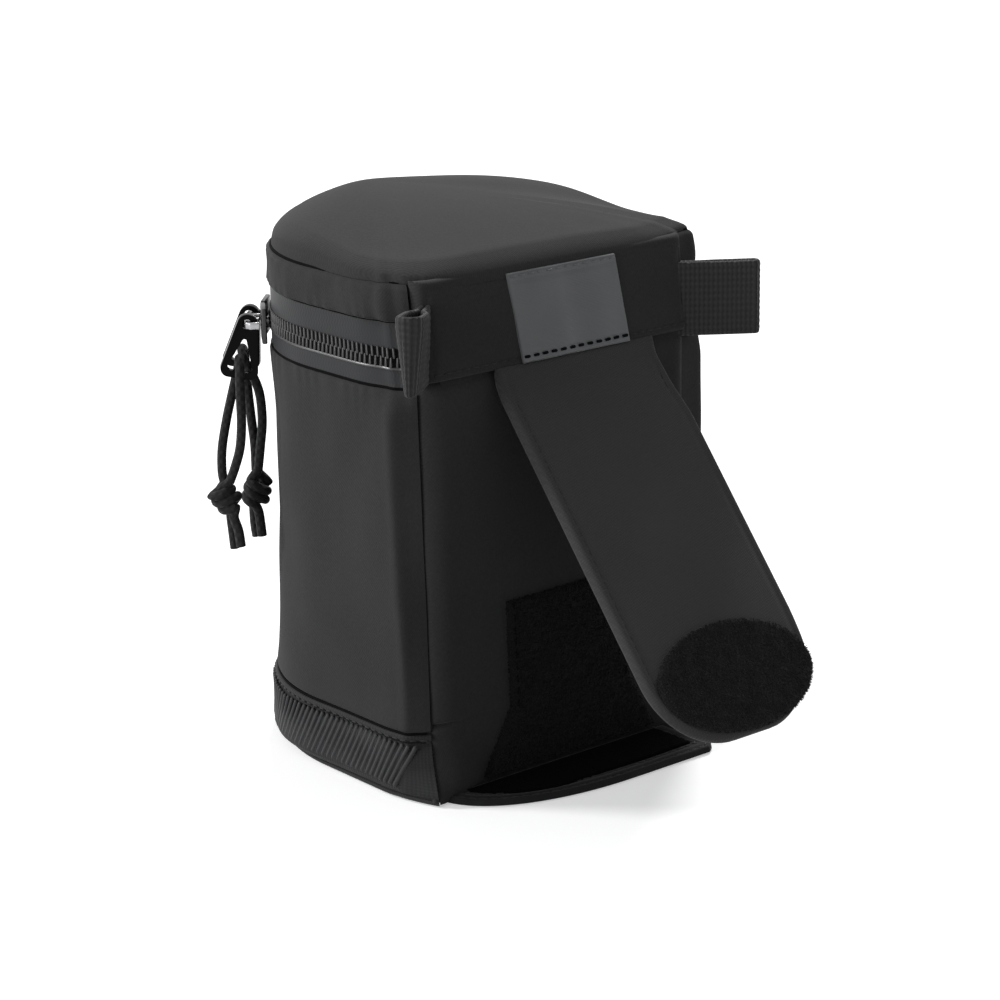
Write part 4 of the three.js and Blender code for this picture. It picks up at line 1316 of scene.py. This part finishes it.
def strap_line():
    """The strap's middle layer seen from the side: down from under the band, then out at its angle."""
    turn = math.radians(STRAP_ANGLE)
    forward = np.array([math.sin(turn), -math.cos(turn)])
    out = np.array([math.cos(turn), math.sin(turn)])
    start = np.array(STRAP_AXIS) + out * 2.1
    straight = [start + forward * b for b in (0, 4, 10, 40, 70, 96)]
    line = smooth_line([(45.3, 106.6), (45.4, 104.9), (46.0, 102.4), (47.2, 100.2), *straight], 0.5)
    along = run_length(line)
    zero = along[np.argmin(np.linalg.norm(line - start, axis=1))]
    return line, along - zero


strap_mid, strap_along = strap_line()
strap_forward = unit(np.gradient(strap_mid, axis=0))


def on_strap(x, b, out):
    y = np.interp(b, strap_along, strap_mid[:, 0])
    z = np.interp(b, strap_along, strap_mid[:, 1])
    dy = np.interp(b, strap_along, strap_forward[:, 0])
    dz = np.interp(b, strap_along, strap_forward[:, 1])
    centre = STRAP_X + STRAP_DRIFT * np.clip(b / STRAP_LENGTH, 0, 1)
    return np.stack([centre + x, y - dz * out, z + dy * out], axis=-1)


def strap_thin(b):
    return 0.5 + 0.5 * np.clip((b - STRAP_ROOT) / 9, 0, 1)


def strap_bead(gap):
    """The bound edge, and the furrow of its stitches beside it."""
    return 1.75 * roll_off(gap, 1.5) - 0.4 * hump(gap - 2.5, 0.6)


def strap_front(x, b, gap):
    crown = 0.3 * np.clip(gap / 14, 0, 1) + 0.22 * ripple(x, b, 44, 71) * np.clip(gap / 10, 0, 1)
    return (strap_bead(gap) + crown) * strap_thin(b)


def strap_rear(x, b, gap):
    return -strap_bead(gap) * strap_thin(b)


def smooth_cloth(places, across, along):
    grain = (across * 1.6 + along * 0.4).wave() * (along * 1.6 - across * 0.4).wave()
    soft = places.noise(22, 3)
    lint = places.noise(1700, 2)
    tone = grain * 0.2 + soft * 0.55 + lint * 0.2
    return {
        "Base Color": tone.between((0.0225, 0.0225, 0.0225), (0.053, 0.053, 0.053)),
        "Roughness": 0.86 - 0.12 * grain,
        "Normal": relief(grain + lint, 0.07, 0.6),
    }


strap_finish = finish(
    "strap_cloth", smooth_cloth, Sheen_Weight=0.08, Sheen_Roughness=0.5, Specular_IOR_Level=0.2,
)
strap_rows = np.concatenate([np.linspace(STRAP_ROOT, 70, 80), spread(70, STRAP_LENGTH, 34, 0.8)[1:]])
strap = pad(
    "strap_cloth", strap_rows, lambda b: strap_half(b) + strap_flare(b), strap_front, strap_rear, on_strap,
    strap_finish, columns=44, middle=lambda b: -strap_flare(b),
)
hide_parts("strap_tab", "strap_lining", "strap_foam", "strap_face", "strap_binding")
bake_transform(strap)


def strap_seam(inset, face):
    """A line that runs down one side, round the tip and up the other, inset from the edge."""
    tip = STRAP_LENGTH - STRAP_TIP
    b = np.concatenate([np.linspace(2, tip, 40), np.linspace(tip, STRAP_LENGTH, 30)[1:]])
    half = np.array([strap_half(v) for v in b])
    border = even(border_line(half, -half, b), 0.8)
    x, b = (border + left_of(border) * inset)[1:-1].T
    level = face(x, b, np.full(len(x), float(inset)))
    return on_strap(x, b, level + 0.03 * np.sign(level))


seams = [strap_seam(2.5, strap_front), strap_seam(2.5, strap_rear)]
strap_stitches = stitches("strap_stitches", seams, None, pitch=2.8, length=2.1, thickness=0.36)
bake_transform(strap_stitches)


def oval_half(v):
    return max(0.02, OVAL[0] * math.sqrt(max(0.0, 1 - (v / OVAL[1]) ** 2)))


def oval_front(x, v, gap):
    return 1.7 + (1.0 + 0.18 * ripple(x, v, 5, 81)) * roll_off(gap, 1.2)


def on_oval(x, v, out):
    return on_strap(x + OVAL_AT[0], v + OVAL_AT[1], out)


oval_finish = finish("oval_pile", lambda places, across, along: {
    "Base Color": places.noise(900, 5).between((0.0022, 0.0022, 0.0024), (0.0125, 0.0125, 0.013)),
    "Roughness": 0.85 + 0.15 * places.noise(300),
    "Normal": relief(places.noise(1200, 5), 0.5),
}, Sheen_Weight=0.08, Specular_IOR_Level=0.2)
oval = pad(
    "oval_pile", spread(-OVAL[1], OVAL[1], 40, 1), oval_half, oval_front,
    rolled_face(1.7, -0.5), on_oval, oval_finish, columns=40,
)
fit(oval, "strap", "pile", "oval_loop_pad")
tufts("oval_fibres", oval, lambda n: n.y > 0, oval_finish, "strap", density=6.0, length=1.3, thickness=0.22)

hook_end = STRAP_LENGTH - HOOK_INSET
hook = pad(
    "strap_hook_pile", spread(hook_end - HOOK[1], hook_end, 24), lambda v: HOOK[0] / 2,
    rolled_face(-1.6, -0.9, 0.8), rolled_face(-1.6, 0.4, 0.8),
    on_strap, pile_finish, columns=24,
)
fit(hook, "strap", "pile", "strap_hook_pad")
tufts(
    "strap_hook_fibres", hook, lambda n: n.y < -0.3, pile_finish, "strap",
    density=3.0, length=0.7, thickness=0.2,
)


# Tuck flap: a hemmed strip of doubled cloth sewn along the foot of the back. It lies on the
# table and folds up over the strap's tip, with hook pile on its inner face.
FLAP_ROOT = 43.9
FLAP_START = 44.8
FLAP_END = 65.4
FLAP_LEFT, FLAP_RIGHT = 42.5, -32.6
FLAP_HOOK_START = 46.4
FLAP_HOOK_INSET = 5.2
FLAP_HOOK_DRIFT = 1.6


def flap_sides(y):
    """Where the flap's round left end and its square right end stand at one depth."""
    share = min(1.0, max(0.0, (y - FLAP_START) / (FLAP_END - FLAP_START)))
    left = FLAP_LEFT * max(0.0, 1 - share**2.3) ** (1 / 2.3) - 5 * share
    right = FLAP_RIGHT + 3.5 * max(0.0, (share - 0.8) / 0.2) ** 2
    return left, right


def flap_half(y):
    left, right = flap_sides(y)
    return max(0.5, (left - right) / 2)


def flap_middle(y):
    left, right = flap_sides(y)
    return (left + right) / 2


def flap_top(x, y, gap):
    hem = 1.5 * roll_off(gap, 0.8) - 0.35 * hump(gap - 1.6, 0.45)
    slack = 0.15 * ripple(x, y, 24, 91) * np.clip(gap / 3, 0, 1)
    return 0.25 + hem - 0.3 * np.clip((gap - 3.2) / 0.6, 0, 1) + slack


def on_flap(x, y, out):
    return np.stack([x, y, out], axis=-1)


flap_finish = finish("flap_cloth", lambda places, across, along: {
    "Base Color": places.noise(300, 4).between((0.002, 0.002, 0.0022), (0.010, 0.010, 0.011)),
    "Roughness": 0.75 + 0.2 * places.noise(90),
    "Normal": relief(places.noise(1300, 3), 0.15, 0.7),
}, Sheen_Weight=0.05, Specular_IOR_Level=0.2)
flap_rows = np.concatenate([np.linspace(FLAP_ROOT, 53, 24), spread(53, FLAP_END, 32, 0.8)[1:]])
flap = pad(
    "tuck_flap_cloth", flap_rows, flap_half, flap_top, rolled_face(0.3, -0.3, 0.5),
    on_flap, flap_finish, columns=70, middle=flap_middle,
)
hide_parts("flap_hem", "tuck_flap")
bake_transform(flap)


def flap_seam(inset):
    y = np.concatenate([np.linspace(FLAP_START + 1, 56, 16), spread(56, FLAP_END, 24)[1:]])
    sides = np.array([flap_sides(v) for v in y])
    border = even(border_line(*sides.T, y), 0.7)
    line = (border + left_of(border) * inset)[2:]
    x, y = line[line[:, 0] > FLAP_RIGHT + 2.5].T
    return on_flap(x, y, flap_top(x, y, np.full(len(x), float(inset))) + 0.03)


seams = [flap_seam(1.6), flap_seam(4.4)]
flap_stitches = stitches("tuck_flap_stitches", seams, None, pitch=2.6, length=1.9, thickness=0.44)
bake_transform(flap_stitches)
# Hook pile on the flap: black, and painted darker still for the shade that it lies in behind the body.
shaded_hook_finish = finish("hook_pile", lambda places, across, along: {
    "Base Color": places.noise(1100, 5).between((0.0004, 0.0004, 0.0005), (0.0028, 0.0028, 0.003)),
    "Normal": relief(places.noise(1100, 5), 0.4),
}, Roughness=0.95, Specular_IOR_Level=0.03)
flap_hook = pad(
    "flap_hook_pile", spread(FLAP_HOOK_START, FLAP_END - FLAP_HOOK_INSET, 22),
    lambda y: flap_half(y + FLAP_HOOK_DRIFT) - FLAP_HOOK_INSET,
    rolled_face(1.3, 0.8, 0.7), rolled_face(1.3, -0.3, 0.6),
    on_flap, shaded_hook_finish, columns=50, middle=lambda y: flap_middle(y + FLAP_HOOK_DRIFT),
)
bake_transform(flap_hook)
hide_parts("flap_hook_strip")


# Zip sliders and pulls: lacquered metal sliders with a bail, and a black moulded frame
# on each bail that the cord is threaded through.
def lacquer(places, across, along):
    scuff = places.noise(420, 4)
    return {
        "Base Color": scuff.between((0.020, 0.020, 0.021), (0.070, 0.070, 0.072)),
        "Roughness": 0.22 + 0.2 * scuff,
        "Normal": relief(scuff, 0.03, 0.4),
    }


metal_finish = finish("lacquered_metal", lacquer, Metallic=0.85, Specular_IOR_Level=0.4)


def moulded(places, across, along):
    flow = places.noise(200, 3)
    return {
        "Base Color": flow.between((0.0012, 0.0012, 0.0013), (0.0035, 0.0035, 0.0037)),
        "Roughness": 0.14 + 0.14 * flow,
        "Normal": relief(flow, 0.05, 0.4),
    }


pull_finish = finish("moulded_pull", moulded, Specular_IOR_Level=0.05)
bail_finish = finish("bright_wire", lambda places, across, along: {
    "Base Color": places.noise(600, 3).between((0.22, 0.22, 0.225), (0.46, 0.46, 0.47)),
    "Roughness": 0.18 + 0.2 * places.noise(600, 3),
}, Metallic=0.9)


def eased(node, name, material, width):
    """A copy of a solid with its edges rounded off."""
    made = bmesh.new()
    made.from_mesh(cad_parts[node].data)
    bmesh.ops.remove_doubles(made, verts=made.verts, dist=1e-6)
    bmesh.ops.dissolve_limit(made, angle_limit=math.radians(3), verts=made.verts, edges=made.edges)
    bend = math.radians(32)
    sharp = [edge for edge in made.edges if len(edge.link_faces) == 2 and edge.calc_face_angle() > bend]
    bmesh.ops.bevel(
        made, geom=sharp, offset=width * MM, segments=3, affect="EDGES", profile=0.5, clamp_overlap=True,
    )
    bmesh.ops.recalc_face_normals(made, faces=made.faces)
    return shown(name, made, material, 50)


for side in ("left", "right"):
    for node, name, material, width, body, slot in (
        (f"slider_body_{side}", f"slider_{side}_casting", metal_finish, 0.35, f"slider_{side}", "metal"),
        (f"slider_bail_{side}", f"slider_{side}_bail", bail_finish, 0.3, f"slider_{side}", "metal"),
        (f"pull_frame_{side}", f"pull_{side}_moulding", pull_finish, 0.6, f"pull_{side}", "pull"),
    ):
        fit(eased(node, name, material, width), body, slot, node)


# Table and light: a pale table that runs on to a white background, a soft light on the left of
# the camera, a low one level with the side and one behind the pouch. The table darkens only
# where the first and the last are both shaded.
AMBIENT = 0.35
TABLE_GLOW = 0.43
TABLE_BOUNCE = 0.3

for name, origin, strength, softness in (
    ("side_light", (0.60, -0.68, 0.60), 1.8, 10),
    ("low_light", (0.99, -0.02, 0.12), 1.8, 40),
    ("behind_light", (-0.52, -0.46, 0.72), 1.85, 9),
):
    sun = bpy.data.lights.new(name, "SUN")
    sun.energy = strength
    sun.angle = math.radians(softness)
    lamp = bpy.data.objects.new(name, sun)
    lamp.rotation_mode = "QUATERNION"
    lamp.rotation_quaternion = (-Vector(origin)).to_track_quat("-Z", "Y")
    scene.collection.objects.link(lamp)


def seen_directly(start):
    """1 on rays from the camera and on mirror and glass rays, 0 on the rest."""
    rays = start.node("ShaderNodeLightPath").socket.node.outputs
    camera_ray, glossy, through = (
        Socket(start.tree, rays[key]) for key in ("Is Camera Ray", "Is Glossy Ray", "Is Transmission Ray")
    )
    return start.math("MAXIMUM", start.math("MAXIMUM", camera_ray, glossy), through)


world = bpy.data.worlds.new("white_room")
scene.world = world
world.use_nodes = True
background = world.node_tree.nodes["Background"]
background.inputs["Color"].default_value = (1, 1, 1, 1)
sky = Socket(world.node_tree)
sky.feed(background.inputs["Strength"], AMBIENT + (1 - AMBIENT) * seen_directly(sky))

table_finish = finish("pale_table", lambda places, across, along: {
    "Base Color": seen_directly(places).between((TABLE_BOUNCE,) * 3, (0.88, 0.88, 0.88)),
    "Emission Color": seen_directly(places).between((0, 0, 0), (0.99, 0.995, 1)),
}, Roughness=1.0, Specular_IOR_Level=0.0, Emission_Strength=TABLE_GLOW)
corners = [(-6, -6), (6, -6), (6, 6), (-6, 6)]
table_mesh = bpy.data.meshes.new("table")
table_mesh.from_pydata([(x, y, -0.0002) for x, y in corners], [], [(0, 1, 2, 3)])
table_mesh.materials.append(table_finish)
table = bpy.data.objects.new("table", table_mesh)
scene.collection.objects.link(table)
